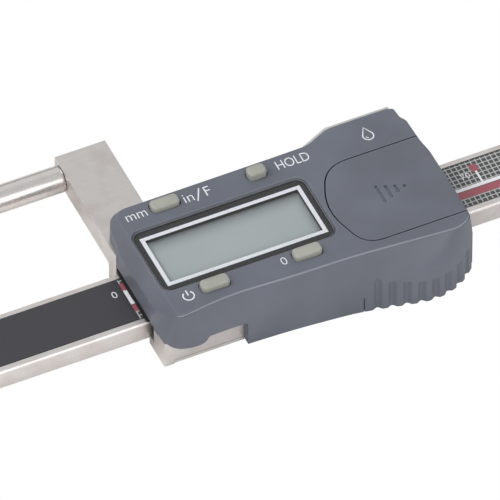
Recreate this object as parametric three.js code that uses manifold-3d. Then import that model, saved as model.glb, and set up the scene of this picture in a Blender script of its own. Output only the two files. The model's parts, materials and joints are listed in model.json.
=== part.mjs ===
// A digital caliper with two opposed round measuring rods.
//
// Millimetres, +Z up. +X runs along the beam from the fixed jaw to the free end, and +Y points
// from the beam to the arms' ends. The model's origin is on the fixed jaw's underside, on the beam's
// centreline. Inside the caliper group the origin is the scale's zero, on the beam's top face.
// The slider stands 1 mm open.

import * as THREE from 'three';
import { mergeVertices } from 'three/addons/utils/BufferGeometryUtils.js';
import Module from 'manifold-3d';

const wasm = await Module();
wasm.setup();

// ---------------------------------------------------------------- driving dimensions

const beamWidth = 13.2;
const beamThickness = 4.4;
const beamLeftX = -90;
const beamRightX = 225;
const beamChamfer = 0.35;

const filmFrontY = -5.15;
const filmBackY = 5.3;
const filmThickness = 0.18;
const boardThickness = 0.55;
const scaleRecessDepth = 0.8;

const restReading = 1.0; // how far the rods stand apart
const rodLength = 40;
const rodRadius = 2.55;
const rodY = 31.8;
const rodZ = 0.35;
const rodSpigotRadius = 1.5;
const rodSpigotLength = 6;

const armWidth = 10;
const armEndY = 34.7;
const armTopZ = 3.1;
const armBottomZ = -1.7;
const armFillet = 0.8;
const undersideZ = -5.4;

const fixedJawRightX = beamLeftX + armWidth;
const fixedJawX = (beamLeftX + fixedJawRightX) / 2;
const fixedJawHalfWidth = 9.6;
const jawScrewYs = [-4.2, 4.2];
const jawScrewRadius = 0.95;
const jawScrewHeadRadius = 1.7;
const endPlateThickness = 1.5;
const endScrewY = 3.6;
const endScrewZ = -2.5;
const endScrewRadius = 0.7;
const grubScrewRadius = 0.76;
const grubScrewLength = 1.6;
const screwSlip = 0.05; // extra radius of a screw's hole

const frameLeftX = restReading;
const frameRightX = 59;
const frameFrontY = -13.1;
const frameBackY = 11;
const railTopZ = 0.6;
const bridgeTopZ = 1.9;
const channelFrontY = -6.66;
const channelBackY = 7.75;
const channelTopZ = 0.35;
const plateThickness = 0.9;
const bridgeLeftX = 2.4;
const pickupLeftX = 8; // the pickup board's bay between the two bridges
const pickupRightX = 52;
const reliefSlotWidth = 1.9;
const reliefSlotEndX = 6;
const reliefSlotBottomZ = -3.5;

const housingTopZ = 8.5;
const housingBottomZ = -5.0;
const ceilingZ = 6.4;
const creaseY = -15.8; // the top's front edge at the grip
const gripY = -19.0;
const gripSlopeZ = 2.2; // the grip's wall is upright below this
const leftCreaseZ = 4.9;
const topLeftX = 2.95;
const gripFluteCount = 9;
const gripFlutePitch = 2.7;
const gripFluteRadius = 0.9;

const slip = 0.1; // clearance between pieces that pass each other

const lockScrewX = 24;
const sideScrewZ = -2.2;
const lockThreadRadius = 1.45;
const lockHeadRadius = 3.1;
const lockHeadLength = 5;
const lockGripLobes = 14;
const gibScrewXs = [16, 40];
const gibScrewRadius = 1.22;
const plateScrewRadius = 0.82;
const caseScrewRadius = 0.8;
const backPlateScrewSpots = [[9.5, -9.8], [48, -9.8], [9.5, 9.4], [45, 9.4]];
const caseScrewSpots = [[5.4, -10.8], [57.2, -10.2], [57.2, 9.4], [20.5, 9.4]];
const bossSpots = [caseScrewSpots[0], caseScrewSpots[3]]; // screws that need a boss in the bay
const bossRadius = 1.6;

const buttons = [
  { name: 'mm_in_button', x: 12.2, y: 11.3, length: 5.5, width: 2.5, topZ: 9.6 },
  { name: 'hold_button', x: 30.3, y: 11.15, length: 3.6, width: 2.5, topZ: 10.0 },
  { name: 'power_button', x: 12.3, y: -10.1, length: 5.5, width: 2.5, topZ: 9.6 },
  { name: 'zero_button', x: 30.5, y: -10.1, length: 5.5, width: 2.5, topZ: 9.6 },
];

const windowBox = { x0: 3.4, x1: 37.6, y0: -8.2, y1: 7.4, radius: 2.0 };
const windowTopZ = 8.15;
const windowBottomZ = 7.1;
const panelTopZ = 7.0;
const windowLedgeZ = 6.95;

const cellX = 50.2;
const cellY = -2.6;
const cellRadius = 10;
const cellBottomZ = 3.65;
const cellTopZ = 6.85;
const coverBottomZ = 7.0;
const coverBackY = 7.55;
const coverFrontY = -12.7;
const coverGap = 0.08; // the gap round the battery cover, on each side of its outline
const arrowBarCount = 4;
const arrowBarPitch = 1.6;
const arrowBarDepth = 0.35;

const portLeftX = 47.2;
const portRightX = 59.2;
const portBottomZ = 0.5;
const portTopZ = 7.6;

const bay = { x0: 3.9, x1: 38.7, y0: -12.6, y1: 12.9, radius: 2.3 }; // space for the electronics

// ---------------------------------------------------------------- materials

function material(color, roughness, metalness) {
  return new THREE.MeshStandardMaterial({ color, roughness, metalness });
}

const groundSteel = material(0xc4bfbe, 0.35, 1.0);
const darkSteel = material(0x55565a, 0.45, 1.0);
const housingPlastic = material(0x686c78, 0.55, 0.0);
const buttonPlastic = material(0xa9aa9f, 0.6, 0.0);
const blackRubber = material(0x1c1c1e, 0.9, 0.0);
const innerPlastic = material(0x2b2c30, 0.6, 0.0);
const filmInk = material(0x46464b, 0.4, 0.0);
const circuitGreen = material(0x1e5a3c, 0.6, 0.0);
const displayGrey = material(0xa0a8a8, 0.2, 0.0);
const windowPlastic = material(0x3c3b3e, 0.1, 0.0);
const brass = material(0xb59a4c, 0.4, 1.0);
const cellSteel = material(0xb8b8bc, 0.3, 1.0);

// ---------------------------------------------------------------- solids

const AXIS_SEGMENTS = 20;
const FASTENER_SEGMENTS = 12;
const CURVE_STEPS = 6;

function toSolid(geometry) {
  const bare = geometry.index ? geometry.toNonIndexed() : geometry.clone();
  bare.deleteAttribute('normal');
  bare.deleteAttribute('uv');
  const merged = mergeVertices(bare, 1e-5);
  return new wasm.Manifold(new wasm.Mesh({
    numProp: 3,
    vertProperties: Float32Array.from(merged.attributes.position.array),
    triVerts: Uint32Array.from(merged.index.array),
  }));
}

function toGeometry(solid) {
  const mesh = solid.getMesh();
  const geometry = new THREE.BufferGeometry();
  geometry.setAttribute('position', new THREE.BufferAttribute(mesh.vertProperties, 3));
  geometry.setIndex(new THREE.BufferAttribute(mesh.triVerts, 1));
  geometry.computeVertexNormals();
  return geometry;
}

function cut(geometry, ...tools) {
  const solid = tools.reduce((body, tool) => body.subtract(toSolid(tool)), toSolid(geometry));
  return toGeometry(solid);
}

function join(geometry, ...others) {
  const solid = others.reduce((body, other) => body.add(toSolid(other)), toSolid(geometry));
  return toGeometry(solid);
}

function box(x0, x1, y0, y1, z0, z1) {
  const geometry = new THREE.BoxGeometry(x1 - x0, y1 - y0, z1 - z0);
  return geometry.translate((x0 + x1) / 2, (y0 + y1) / 2, (z0 + z1) / 2);
}

// A shape drawn in X and Y, extruded from z0 to z1.
function plate(shape, z0, z1, curveSegments = CURVE_STEPS) {
  const geometry = new THREE.ExtrudeGeometry(shape, { depth: z1 - z0, bevelEnabled: false, curveSegments });
  return geometry.translate(0, 0, z0);
}

// A shape drawn in Y and Z, extruded from x0 to x1.
function barAlongX(shape, x0, x1, curveSegments = CURVE_STEPS) {
  const geometry = new THREE.ExtrudeGeometry(shape, { depth: x1 - x0, bevelEnabled: false, curveSegments });
  const turn = new THREE.Matrix4().makeBasis(
    new THREE.Vector3(0, 1, 0),
    new THREE.Vector3(0, 0, 1),
    new THREE.Vector3(1, 0, 0),
  );
  return geometry.applyMatrix4(turn).translate(x0, 0, 0);
}

// A shape drawn in X and Z, extruded from y0 to y1.
function barAlongY(shape, y0, y1, curveSegments = CURVE_STEPS) {
  const geometry = new THREE.ExtrudeGeometry(shape, { depth: y1 - y0, bevelEnabled: false, curveSegments });
  const turn = new THREE.Matrix4().makeBasis(
    new THREE.Vector3(1, 0, 0),
    new THREE.Vector3(0, 0, 1),
    new THREE.Vector3(0, -1, 0),
  );
  return geometry.applyMatrix4(turn).translate(0, y1, 0);
}

function cylinderZ(x, y, z0, z1, radius, segments = AXIS_SEGMENTS) {
  const geometry = new THREE.CylinderGeometry(radius, radius, z1 - z0, segments);
  return geometry.rotateX(Math.PI / 2).translate(x, y, (z0 + z1) / 2);
}

function cylinderY(x, z, y0, y1, radius, segments = AXIS_SEGMENTS) {
  const geometry = new THREE.CylinderGeometry(radius, radius, y1 - y0, segments);
  return geometry.translate(x, (y0 + y1) / 2, z);
}

function cylinderX(y, z, x0, x1, radius, segments = AXIS_SEGMENTS) {
  const geometry = new THREE.CylinderGeometry(radius, radius, x1 - x0, segments);
  return geometry.rotateZ(Math.PI / 2).translate((x0 + x1) / 2, y, z);
}

// A turned piece from [radius, height] pairs; its axis is +Y until it is rotated.
function turned(profile, segments = AXIS_SEGMENTS) {
  return new THREE.LatheGeometry(profile.map(([r, h]) => new THREE.Vector2(r, h)), segments);
}

function polygon(points) {
  return new THREE.Shape(points.map(([u, v]) => new THREE.Vector2(u, v)));
}

function roundedRectangle(x0, x1, y0, y1, radius) {
  const shape = new THREE.Shape();
  shape.moveTo(x0 + radius, y0);
  shape.lineTo(x1 - radius, y0);
  shape.absarc(x1 - radius, y0 + radius, radius, -Math.PI / 2, 0);
  shape.lineTo(x1, y1 - radius);
  shape.absarc(x1 - radius, y1 - radius, radius, 0, Math.PI / 2);
  shape.lineTo(x0 + radius, y1);
  shape.absarc(x0 + radius, y1 - radius, radius, Math.PI / 2, Math.PI);
  shape.lineTo(x0, y0 + radius);
  shape.absarc(x0 + radius, y0 + radius, radius, Math.PI, Math.PI * 1.5);
  return shape;
}

function piece(group, name, geometry, finish) {
  const mesh = new THREE.Mesh(geometry, finish);
  mesh.name = name;
  group.add(mesh);
  return mesh;
}

// ---------------------------------------------------------------- fasteners

// A screw that points up, with its head's underside at height 0.
function panHeadScrew(headRadius, headHeight, threadRadius, threadLength) {
  const tip = 0.25;
  const driveRadius = headRadius * 0.45;
  const driveDepth = headHeight * 0.5;
  return turned([
    [0, -headHeight + driveDepth],
    [driveRadius, -headHeight + driveDepth],
    [driveRadius, -headHeight],
    [headRadius * 0.85, -headHeight],
    [headRadius, -headHeight * 0.6],
    [headRadius, 0],
    [threadRadius, 0],
    [threadRadius, threadLength - tip],
    [threadRadius - tip, threadLength],
    [0, threadLength],
  ], FASTENER_SEGMENTS).rotateX(Math.PI / 2);
}

// A headless screw along +Y with a socket in its far end, from y = 0 to its length.
function grubScrew(radius, length) {
  const chamfer = 0.2;
  return turned([
    [0, 0],
    [radius - chamfer, 0],
    [radius, chamfer],
    [radius, length - chamfer],
    [radius - chamfer, length],
    [radius * 0.5, length],
    [radius * 0.5, length * 0.6],
    [0, length * 0.6],
  ], FASTENER_SEGMENTS);
}

// ---------------------------------------------------------------- beam and fixed jaw

function endScrewHoles(x0, x1) {
  return [-endScrewY, endScrewY].map(
    (y) => cylinderX(y, endScrewZ, x0, x1, endScrewRadius + screwSlip, FASTENER_SEGMENTS));
}

function beamSolid() {
  const half = beamWidth / 2;
  const recessGap = 0.05;
  const section = polygon([
    [-half + beamChamfer, -beamThickness],
    [half - beamChamfer, -beamThickness],
    [half, -beamThickness + beamChamfer],
    [half, -beamChamfer],
    [half - beamChamfer, 0],
    [filmBackY + recessGap, 0],
    [filmBackY + recessGap, -scaleRecessDepth],
    [filmFrontY - recessGap, -scaleRecessDepth],
    [filmFrontY - recessGap, 0],
    [-half + beamChamfer, 0],
    [-half, -beamChamfer],
    [-half, -beamThickness + beamChamfer],
  ]);
  const endHoles = endScrewHoles(beamRightX - 4, beamRightX + 1);
  const jawHoles = jawScrewYs.map(
    (y) => cylinderZ(fixedJawX, y, -beamThickness - 1, -2, jawScrewRadius + screwSlip, FASTENER_SEGMENTS));
  return cut(barAlongX(section, beamLeftX, beamRightX), ...endHoles, ...jawHoles);
}

// The arm's side view in Y and Z: a square bar with a small hollow curve where it leaves the frame.
function armSection(rootY) {
  const shape = new THREE.Shape();
  shape.moveTo(rootY, undersideZ);
  shape.lineTo(frameBackY, undersideZ);
  shape.lineTo(frameBackY, armBottomZ - armFillet);
  shape.quadraticCurveTo(frameBackY, armBottomZ, frameBackY + armFillet, armBottomZ);
  shape.lineTo(armEndY, armBottomZ);
  shape.lineTo(armEndY, armTopZ);
  shape.lineTo(rootY, armTopZ);
  return shape;
}

function rodSeat(x0, x1) {
  return cylinderX(rodY, rodZ, x0, x1, rodSpigotRadius + screwSlip, AXIS_SEGMENTS);
}

function grubSeat(x) {
  return cylinderY(x, rodZ, rodY, armEndY + 1, grubScrewRadius + screwSlip, FASTENER_SEGMENTS);
}

function fixedJawSolid() {
  const half = fixedJawHalfWidth;
  const block = box(beamLeftX, fixedJawRightX, -half, half - 2, undersideZ, armTopZ);
  const arm = barAlongX(armSection(half - 4), beamLeftX, fixedJawRightX);
  const beamSlot = box(
    beamLeftX - 1, fixedJawRightX + 1,
    -beamWidth / 2 - 0.02, beamWidth / 2 + 0.02,
    -beamThickness - 0.02, 0.03);
  const low = undersideZ - 1;
  const holes = jawScrewYs.flatMap((y) => [
    cylinderZ(fixedJawX, y, low, -beamThickness + 0.5, jawScrewRadius + screwSlip, FASTENER_SEGMENTS),
    cylinderZ(fixedJawX, y, low, undersideZ + 0.55, jawScrewHeadRadius + slip, FASTENER_SEGMENTS),
  ]);
  return cut(join(block, arm), beamSlot, rodSeat(fixedJawRightX - rodSpigotLength - 0.2, fixedJawRightX + 1),
    grubSeat(fixedJawRightX - rodSpigotLength / 2), ...holes);
}

// A rod along +X whose spigot sits in the arm's seat; its measuring face is at the far end.
function measuringRodSolid() {
  const edge = 0.25;
  return turned([
    [0, -rodSpigotLength],
    [rodSpigotRadius, -rodSpigotLength],
    [rodSpigotRadius, 0.02],
    [rodRadius - edge, 0.02],
    [rodRadius, edge],
    [rodRadius, rodLength - edge],
    [rodRadius - edge, rodLength],
    [0, rodLength],
  ], 28).rotateZ(-Math.PI / 2);
}

function endStopSolid() {
  const outline = roundedRectangle(-beamWidth / 2 - 0.6, beamWidth / 2 + 0.6, -beamThickness - 0.6, 0.9, 0.8);
  const blank = barAlongX(outline, beamRightX + 0.02, beamRightX + endPlateThickness, 3);
  return cut(blank, ...endScrewHoles(beamRightX - 1, beamRightX + 3));
}

function buildBeamGroup() {
  const group = new THREE.Group();
  const boardBottom = -scaleRecessDepth + 0.02;
  const filmBottom = -filmThickness;
  piece(group, 'beam', beamSolid(), groundSteel);
  piece(group, 'scale_board', box(fixedJawRightX + 0.5, beamRightX - 1, filmFrontY, filmBackY,
    boardBottom, boardBottom + boardThickness), circuitGreen);
  piece(group, 'scale_film', box(fixedJawRightX + 0.5, beamRightX - 1, filmFrontY, filmBackY,
    filmBottom, 0), filmInk);
  piece(group, 'fixed_jaw', fixedJawSolid(), groundSteel);
  piece(group, 'fixed_measuring_rod', measuringRodSolid(), groundSteel)
    .position.set(fixedJawRightX, rodY, rodZ);
  piece(group, 'fixed_rod_grub_screw', grubScrew(grubScrewRadius, grubScrewLength), darkSteel)
    .position.set(fixedJawRightX - rodSpigotLength / 2, armEndY - 0.75, rodZ);
  jawScrewYs.forEach((y, i) => {
    const screw = panHeadScrew(jawScrewHeadRadius, 0.5, jawScrewRadius, 2.2);
    piece(group, `fixed_jaw_screw_${i + 1}`, screw, darkSteel).position.set(fixedJawX, y, undersideZ + 0.53);
  });
  piece(group, 'end_stop_plate', endStopSolid(), groundSteel);
  [-endScrewY, endScrewY].forEach((y, i) => {
    const screw = panHeadScrew(1.3, 0.7, endScrewRadius, 4).rotateY(-Math.PI / 2);
    piece(group, `end_stop_screw_${i + 1}`, screw, darkSteel)
      .position.set(beamRightX + endPlateThickness + 0.03, y, endScrewZ);
  });
  return group;
}

// ---------------------------------------------------------------- slider frame and its fittings

function frameSolid() {
  const lipX = frameLeftX + 2;
  const rails = box(frameLeftX, frameRightX, frameFrontY, frameBackY, undersideZ, railTopZ);
  const bridges = [
    box(bridgeLeftX, pickupLeftX, -9, 9, 0, bridgeTopZ),
    box(pickupRightX, frameRightX - 0.4, -9, 9, 0, bridgeTopZ),
  ];
  const arm = barAlongX(armSection(channelBackY), frameLeftX, frameLeftX + armWidth);
  const channel = box(0, 60, channelFrontY, channelBackY, undersideZ - 1, channelTopZ);
  const leftOpening = box(0, bridgeLeftX, channelFrontY, channelBackY, -1, 4);
  const pickupWindow = box(pickupLeftX, pickupRightX, channelFrontY - 1.5, 9, 0.45, 4);
  const pickupOpening = box(pickupLeftX, pickupRightX, channelFrontY, channelBackY, 0, 4);
  const plateSeat = box(lipX, frameRightX + 1, frameFrontY - 1, frameBackY + 0.5, undersideZ - 1,
    undersideZ + plateThickness + 0.05);
  const slotFrontY = channelFrontY - reliefSlotWidth;
  const reliefSlot = box(0, reliefSlotEndX, slotFrontY, channelFrontY + 0.1, reliefSlotBottomZ, 0.1);
  const slotMouth = box(0, bridgeLeftX, slotFrontY, channelFrontY + 0.1, reliefSlotBottomZ, railTopZ + 1);
  const sideHole = (x, radius, segments) => cylinderY(
    x, sideScrewZ, channelBackY - 1, frameBackY + 1, radius + screwSlip, segments);
  const lockHole = sideHole(lockScrewX, lockThreadRadius, AXIS_SEGMENTS);
  const gibHoles = gibScrewXs.map((x) => sideHole(x, gibScrewRadius, FASTENER_SEGMENTS));
  const plateScrewHoles = backPlateScrewSpots.map(
    ([x, y]) => cylinderZ(x, y, -6, -1.4, plateScrewRadius + screwSlip, FASTENER_SEGMENTS));
  const caseScrewHoles = caseScrewSpots.map(
    ([x, y]) => cylinderZ(x, y, -6, 3, caseScrewRadius + slip, FASTENER_SEGMENTS));
  return cut(join(rails, ...bridges, arm), channel, leftOpening, pickupWindow, pickupOpening, plateSeat,
    reliefSlot, slotMouth, lockHole, ...gibHoles, ...plateScrewHoles, ...caseScrewHoles,
    rodSeat(frameLeftX - 1, frameLeftX + rodSpigotLength + 0.2), grubSeat(frameLeftX + rodSpigotLength / 2));
}

function backPlateSolid() {
  const blank = box(frameLeftX + 2.1, frameRightX - 0.5, frameFrontY + 0.15, frameBackY - 0.1,
    undersideZ, undersideZ + plateThickness);
  const screwSpots = [...backPlateScrewSpots, ...caseScrewSpots];
  const holes = screwSpots.map(([x, y]) => cylinderZ(x, y, -7, -4, 0.9, FASTENER_SEGMENTS));
  const heads = screwSpots.map(([x, y]) => cylinderZ(x, y, -7, undersideZ + 0.5, 1.5, FASTENER_SEGMENTS));
  return cut(blank, ...holes, ...heads);
}

function lockScrewSolid() {
  const tipY = 8.6;
  const headStart = frameBackY + 0.5;
  const headEnd = headStart + lockHeadLength;
  const body = turned([
    [0, tipY],
    [lockThreadRadius - 0.25, tipY],
    [lockThreadRadius, tipY + 0.25],
    [lockThreadRadius, headStart],
    [2.2, headStart],
    [lockHeadRadius, headStart + 0.5],
    [lockHeadRadius, headEnd - 0.4],
    [lockHeadRadius - 0.4, headEnd],
    [0, headEnd],
  ], lockGripLobes * 2);
  const flutes = Array.from({ length: lockGripLobes }, (_, i) => {
    const angle = (i * 2 * Math.PI) / lockGripLobes;
    const spot = new THREE.Vector2(lockHeadRadius, 0).rotateAround(new THREE.Vector2(0, 0), angle);
    return cylinderY(spot.x, spot.y, headStart + 0.8, headEnd + 1, 0.3, 6);
  });
  return cut(body, ...flutes);
}

function buildFrameFittings(group) {
  piece(group, 'slider_frame', frameSolid(), groundSteel);
  const rod = measuringRodSolid().rotateZ(Math.PI);
  piece(group, 'moving_measuring_rod', rod, groundSteel).position.set(frameLeftX, rodY, rodZ);
  piece(group, 'moving_rod_grub_screw', grubScrew(grubScrewRadius, grubScrewLength), darkSteel)
    .position.set(frameLeftX + rodSpigotLength / 2, armEndY - 0.75, rodZ);
  piece(group, 'gib_strip', box(4, 56, 6.66, 7.5, -4.2, -0.2), brass);
  gibScrewXs.forEach((x, i) => {
    piece(group, `gib_screw_${i + 1}`, grubScrew(gibScrewRadius, 3.0), darkSteel)
      .position.set(x, 7.6, sideScrewZ);
  });
  piece(group, 'lock_pad', cylinderY(lockScrewX, sideScrewZ, 7.6, 8.4, 1.2), brass);
  piece(group, 'lock_screw', lockScrewSolid(), groundSteel).position.set(lockScrewX, 0, sideScrewZ);
  piece(group, 'back_plate', backPlateSolid(), groundSteel);
  backPlateScrewSpots.forEach(([x, y], i) => {
    piece(group, `back_plate_screw_${i + 1}`, panHeadScrew(1.4, 0.42, plateScrewRadius, 3.2), darkSteel)
      .position.set(x, y, undersideZ + 0.47);
  });
  caseScrewSpots.forEach(([x, y], i) => {
    piece(group, `case_screw_${i + 1}`, panHeadScrew(1.4, 0.42, caseScrewRadius, 8.5), darkSteel)
      .position.set(x, y, undersideZ + 0.47);
  });
  piece(group, 'front_wiper', box(frameLeftX + 0.05, 2.3, -6.5, 7.6, 0.06, 0.62), blackRubber);
  piece(group, 'rear_wiper', box(59.3, 60.2, -6.9, 7.6, 0.06, 1.9), blackRubber);
}

// ---------------------------------------------------------------- housing

// The housing's widest outline, in X and Y, with the thumb grip's bulge at the front right.
function housingOutline() {
  const shape = new THREE.Shape();
  shape.moveTo(1.1, -12);
  shape.quadraticCurveTo(1.1, -15, 4.0, -14.9);
  shape.quadraticCurveTo(14, -14.3, 26, -15.0);
  shape.quadraticCurveTo(37, -15.8, 48.6, -18.4);
  shape.quadraticCurveTo(56, gripY - 1.2, 61.3, -14.6);
  shape.lineTo(61.6, -13.4);
  shape.lineTo(61.6, -6);
  shape.lineTo(61.4, 3.6);
  shape.lineTo(60.9, 6.4);
  shape.lineTo(60.7, 12.2);
  shape.lineTo(60.0, 13.2);
  shape.lineTo(59.8, 15.7);
  shape.lineTo(58.4, 16.1);
  shape.lineTo(46.4, 16.1);
  shape.lineTo(41.7, 13.9);
  shape.lineTo(4.6, 13.9);
  shape.quadraticCurveTo(1.7, 13.8, 1.45, 11);
  shape.lineTo(1.42, 8.6);
  shape.lineTo(1.1, 7.2);
  return shape;
}

// The battery cover's outline from above, run on past the housing's right face.
function coverOutline(grow) {
  const shape = new THREE.Shape();
  const right = 62.5;
  const back = coverBackY + grow;
  const front = coverFrontY - grow;
  shape.moveTo(right, back);
  shape.lineTo(46.5, back);
  shape.quadraticCurveTo(42.2 - grow, back, 40.3 - grow, 3.7);
  shape.quadraticCurveTo(37.2 - grow, -2.2, 39.3 - grow, -7.4);
  shape.quadraticCurveTo(41.0 - grow * 0.7, front, 44.7, front);
  shape.lineTo(right, front);
  return shape;
}

// Cuts everything of a slab that lies right of the housing's right face.
function rightTrim() {
  return box(61.2, 70, -20, 20, 0, 10);
}

// Upright grooves round the front right corner; the middle ones are the shortest.
function gripFlutes() {
  const path = new THREE.CatmullRomCurve3([
    new THREE.Vector3(41.6, -17.1, 0),
    new THREE.Vector3(47, -18.4, 0),
    new THREE.Vector3(53.4, -19.4, 0),
    new THREE.Vector3(58.3, -18.2, 0),
    new THREE.Vector3(62.1, -14.6, 0),
  ]);
  return Array.from({ length: gripFluteCount }, (_, i) => {
    const spot = path.getPointAt((i * gripFlutePitch) / path.getLength());
    const fromMiddle = (2 * i) / (gripFluteCount - 1) - 1;
    const topZ = 0.5 + 1.7 * fromMiddle ** 2;
    return cylinderZ(spot.x, spot.y, housingBottomZ - 1, topZ, gripFluteRadius, 10);
  });
}

function frontSlopeTool() {
  const wedge = polygon([
    [creaseY, housingTopZ],
    [creaseY, housingTopZ + 1],
    [gripY - 2, housingTopZ + 1],
    [gripY - 2, gripSlopeZ],
    [gripY, gripSlopeZ],
  ]);
  return barAlongX(wedge, 0, 64);
}

function leftSlopeTool() {
  const wedge = polygon([
    [1, leftCreaseZ],
    [topLeftX, housingTopZ],
    [topLeftX, housingTopZ + 1],
    [-1, housingTopZ + 1],
    [-1, leftCreaseZ],
  ]);
  return barAlongY(wedge, -20, 20);
}

// The notch under the housing's front left corner, where the frame shows.
function cornerNotchTool() {
  const shape = new THREE.Shape();
  shape.moveTo(-1, -6);
  shape.lineTo(16.8, -6);
  shape.lineTo(16.8, 0.6);
  shape.lineTo(9.2, 0.6);
  shape.bezierCurveTo(8.3, -1.6, 5.0, -0.9, 1.2, 1.1);
  shape.lineTo(-1, 1.1);
  return barAlongY(shape, -20, frameFrontY - slip);
}

function buttonShape(button, grow, ears) {
  const halfLength = button.length / 2 + grow + ears;
  const halfWidth = button.width / 2 + grow;
  const radius = Math.min(0.9, halfWidth * 0.7);
  return roundedRectangle(button.x - halfLength, button.x + halfLength,
    button.y - halfWidth, button.y + halfWidth, radius);
}

function bayShape(gap) {
  return roundedRectangle(bay.x0 + gap, bay.x1 - gap, bay.y0 + gap, bay.y1 - gap, bay.radius - gap);
}

function housingSolid() {
  const blank = plate(housingOutline(), housingBottomZ, housingTopZ);
  const w = windowBox;
  const buttonHoles = buttons.map((b) => plate(buttonShape(b, 0.15, 0), 5, 10.5, 3));
  const tools = [
    frontSlopeTool(),
    leftSlopeTool(),
    cornerNotchTool(),
    ...gripFlutes(),
    // pocket for the frame, its bridges and its arm
    box(-1, frameRightX + slip * 2, frameFrontY - slip, frameBackY + slip, -6, railTopZ + slip),
    box(2.3, frameRightX + slip * 2, frameFrontY - slip, frameBackY + slip, -6, bridgeTopZ + slip),
    box(-1, frameLeftX + armWidth + 0.2, channelBackY - slip, 20, -6, armTopZ + slip),
    // electronics bay behind the display and the buttons
    plate(bayShape(0), -6, ceilingZ, 4),
    // the back skirt stops above the lock screw
    box(0, 45.4, frameBackY, 20, -6, 2.2),
    // beam opening and wiper seat in the right end
    box(59, 64, -7, channelBackY, -6, 0.4),
    box(59.1, 60.3, -7, channelBackY, -6, 2.0),
    // display window seat and opening
    plate(roundedRectangle(w.x0 - 0.05, w.x1 + 0.05, w.y0 - 0.05, w.y1 + 0.05, w.radius),
      windowLedgeZ, 10, 4),
    plate(roundedRectangle(w.x0 + 1, w.x1 - 1, w.y0 + 1, w.y1 - 1, w.radius - 1), 6, 10, 3),
    ...buttonHoles,
    // battery pocket, cover seat, cover grooves and contact slots
    cylinderZ(cellX, cellY, cellBottomZ - 0.05, 9, cellRadius + 0.15, 36),
    plate(coverOutline(coverGap), coverBottomZ - 0.05, 10, 8),
    box(46, 64, coverFrontY - 0.7, coverBackY + 0.75, coverBottomZ - 0.05, coverBottomZ + 0.65),
    box(38.5, 52, -4.1, -1.1, 2.7, 4),
    box(38.5, 42.8, 2.7, 5.3, 4.0, 6.5),
    // data port: cover groove, then the connector's recess
    box(portLeftX - 0.2, 64, 14.8, 15.6, portBottomZ - slip, portTopZ + slip),
    box(portLeftX - 0.2, 64, 15.5, 18, portBottomZ + 0.6, portTopZ - 0.6),
    box(49, 56, 12.4, 15, 2.4, 5.6),
  ];
  const shell = cut(blank, ...tools);
  const bosses = bossSpots.map(([x, y]) => cylinderZ(x, y, 1.6, ceilingZ + 0.2, bossRadius, 16));
  const screwHoles = caseScrewSpots.map(
    ([x, y]) => cylinderZ(x, y, 0, 4.2, caseScrewRadius + slip, FASTENER_SEGMENTS));
  return cut(join(shell, ...bosses), ...screwHoles);
}

function batteryCoverSolid() {
  const panel = plate(coverOutline(-coverGap), coverBottomZ, housingTopZ, 8);
  const tongues = box(46.4, 61.1, coverFrontY - 0.6, coverBackY + 0.65, coverBottomZ, coverBottomZ + 0.55);
  const arrowBars = Array.from({ length: arrowBarCount }, (_, i) => {
    const x = 48.5 + i * arrowBarPitch;
    const halfLength = 2.3 - i * 0.62;
    return box(x - 0.3, x + 0.3, cellY - halfLength, cellY + halfLength, housingTopZ - arrowBarDepth, 10);
  });
  return cut(join(panel, tongues), rightTrim(), ...arrowBars);
}

function portCoverSolid() {
  const inner = box(portLeftX, portRightX, 14.9, 15.5, portBottomZ, portTopZ);
  const outer = box(portLeftX, portRightX - 0.6, 15.4, 16.1, portBottomZ + 0.7, portTopZ - 0.7);
  const thumbGrooves = Array.from({ length: 4 }, (_, i) => {
    const x = 50.5 + i * 1.6;
    return box(x - 0.35, x + 0.35, 15.8, 17, 2, 6.1);
  });
  return cut(join(inner, outer), ...thumbGrooves);
}

function buttonSolid(button) {
  const cap = plate(buttonShape(button, 0, 0), 6.2, button.topZ, 3);
  const flange = plate(buttonShape(button, 0, 0.7), 5.8, ceilingZ - 0.05, 3);
  const stem = cylinderZ(button.x, button.y, 5.05, 6, 0.9, FASTENER_SEGMENTS);
  return join(cap, flange, stem);
}

function buildHousing(group) {
  piece(group, 'housing', housingSolid(), housingPlastic);
  piece(group, 'battery_cover', batteryCoverSolid(), housingPlastic);
  piece(group, 'data_port_cover', portCoverSolid(), housingPlastic);
  piece(group, 'data_connector', box(49.3, 55.7, 12.6, 14.2, 2.6, 5.4), innerPlastic);
  buttons.forEach((button) => piece(group, button.name, buttonSolid(button), buttonPlastic));
}

// ---------------------------------------------------------------- display, boards and battery

function bossClearances(z0, z1) {
  return bossSpots.map(([x, y]) => cylinderZ(x, y, z0, z1, bossRadius + 0.2, 16));
}

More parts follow.
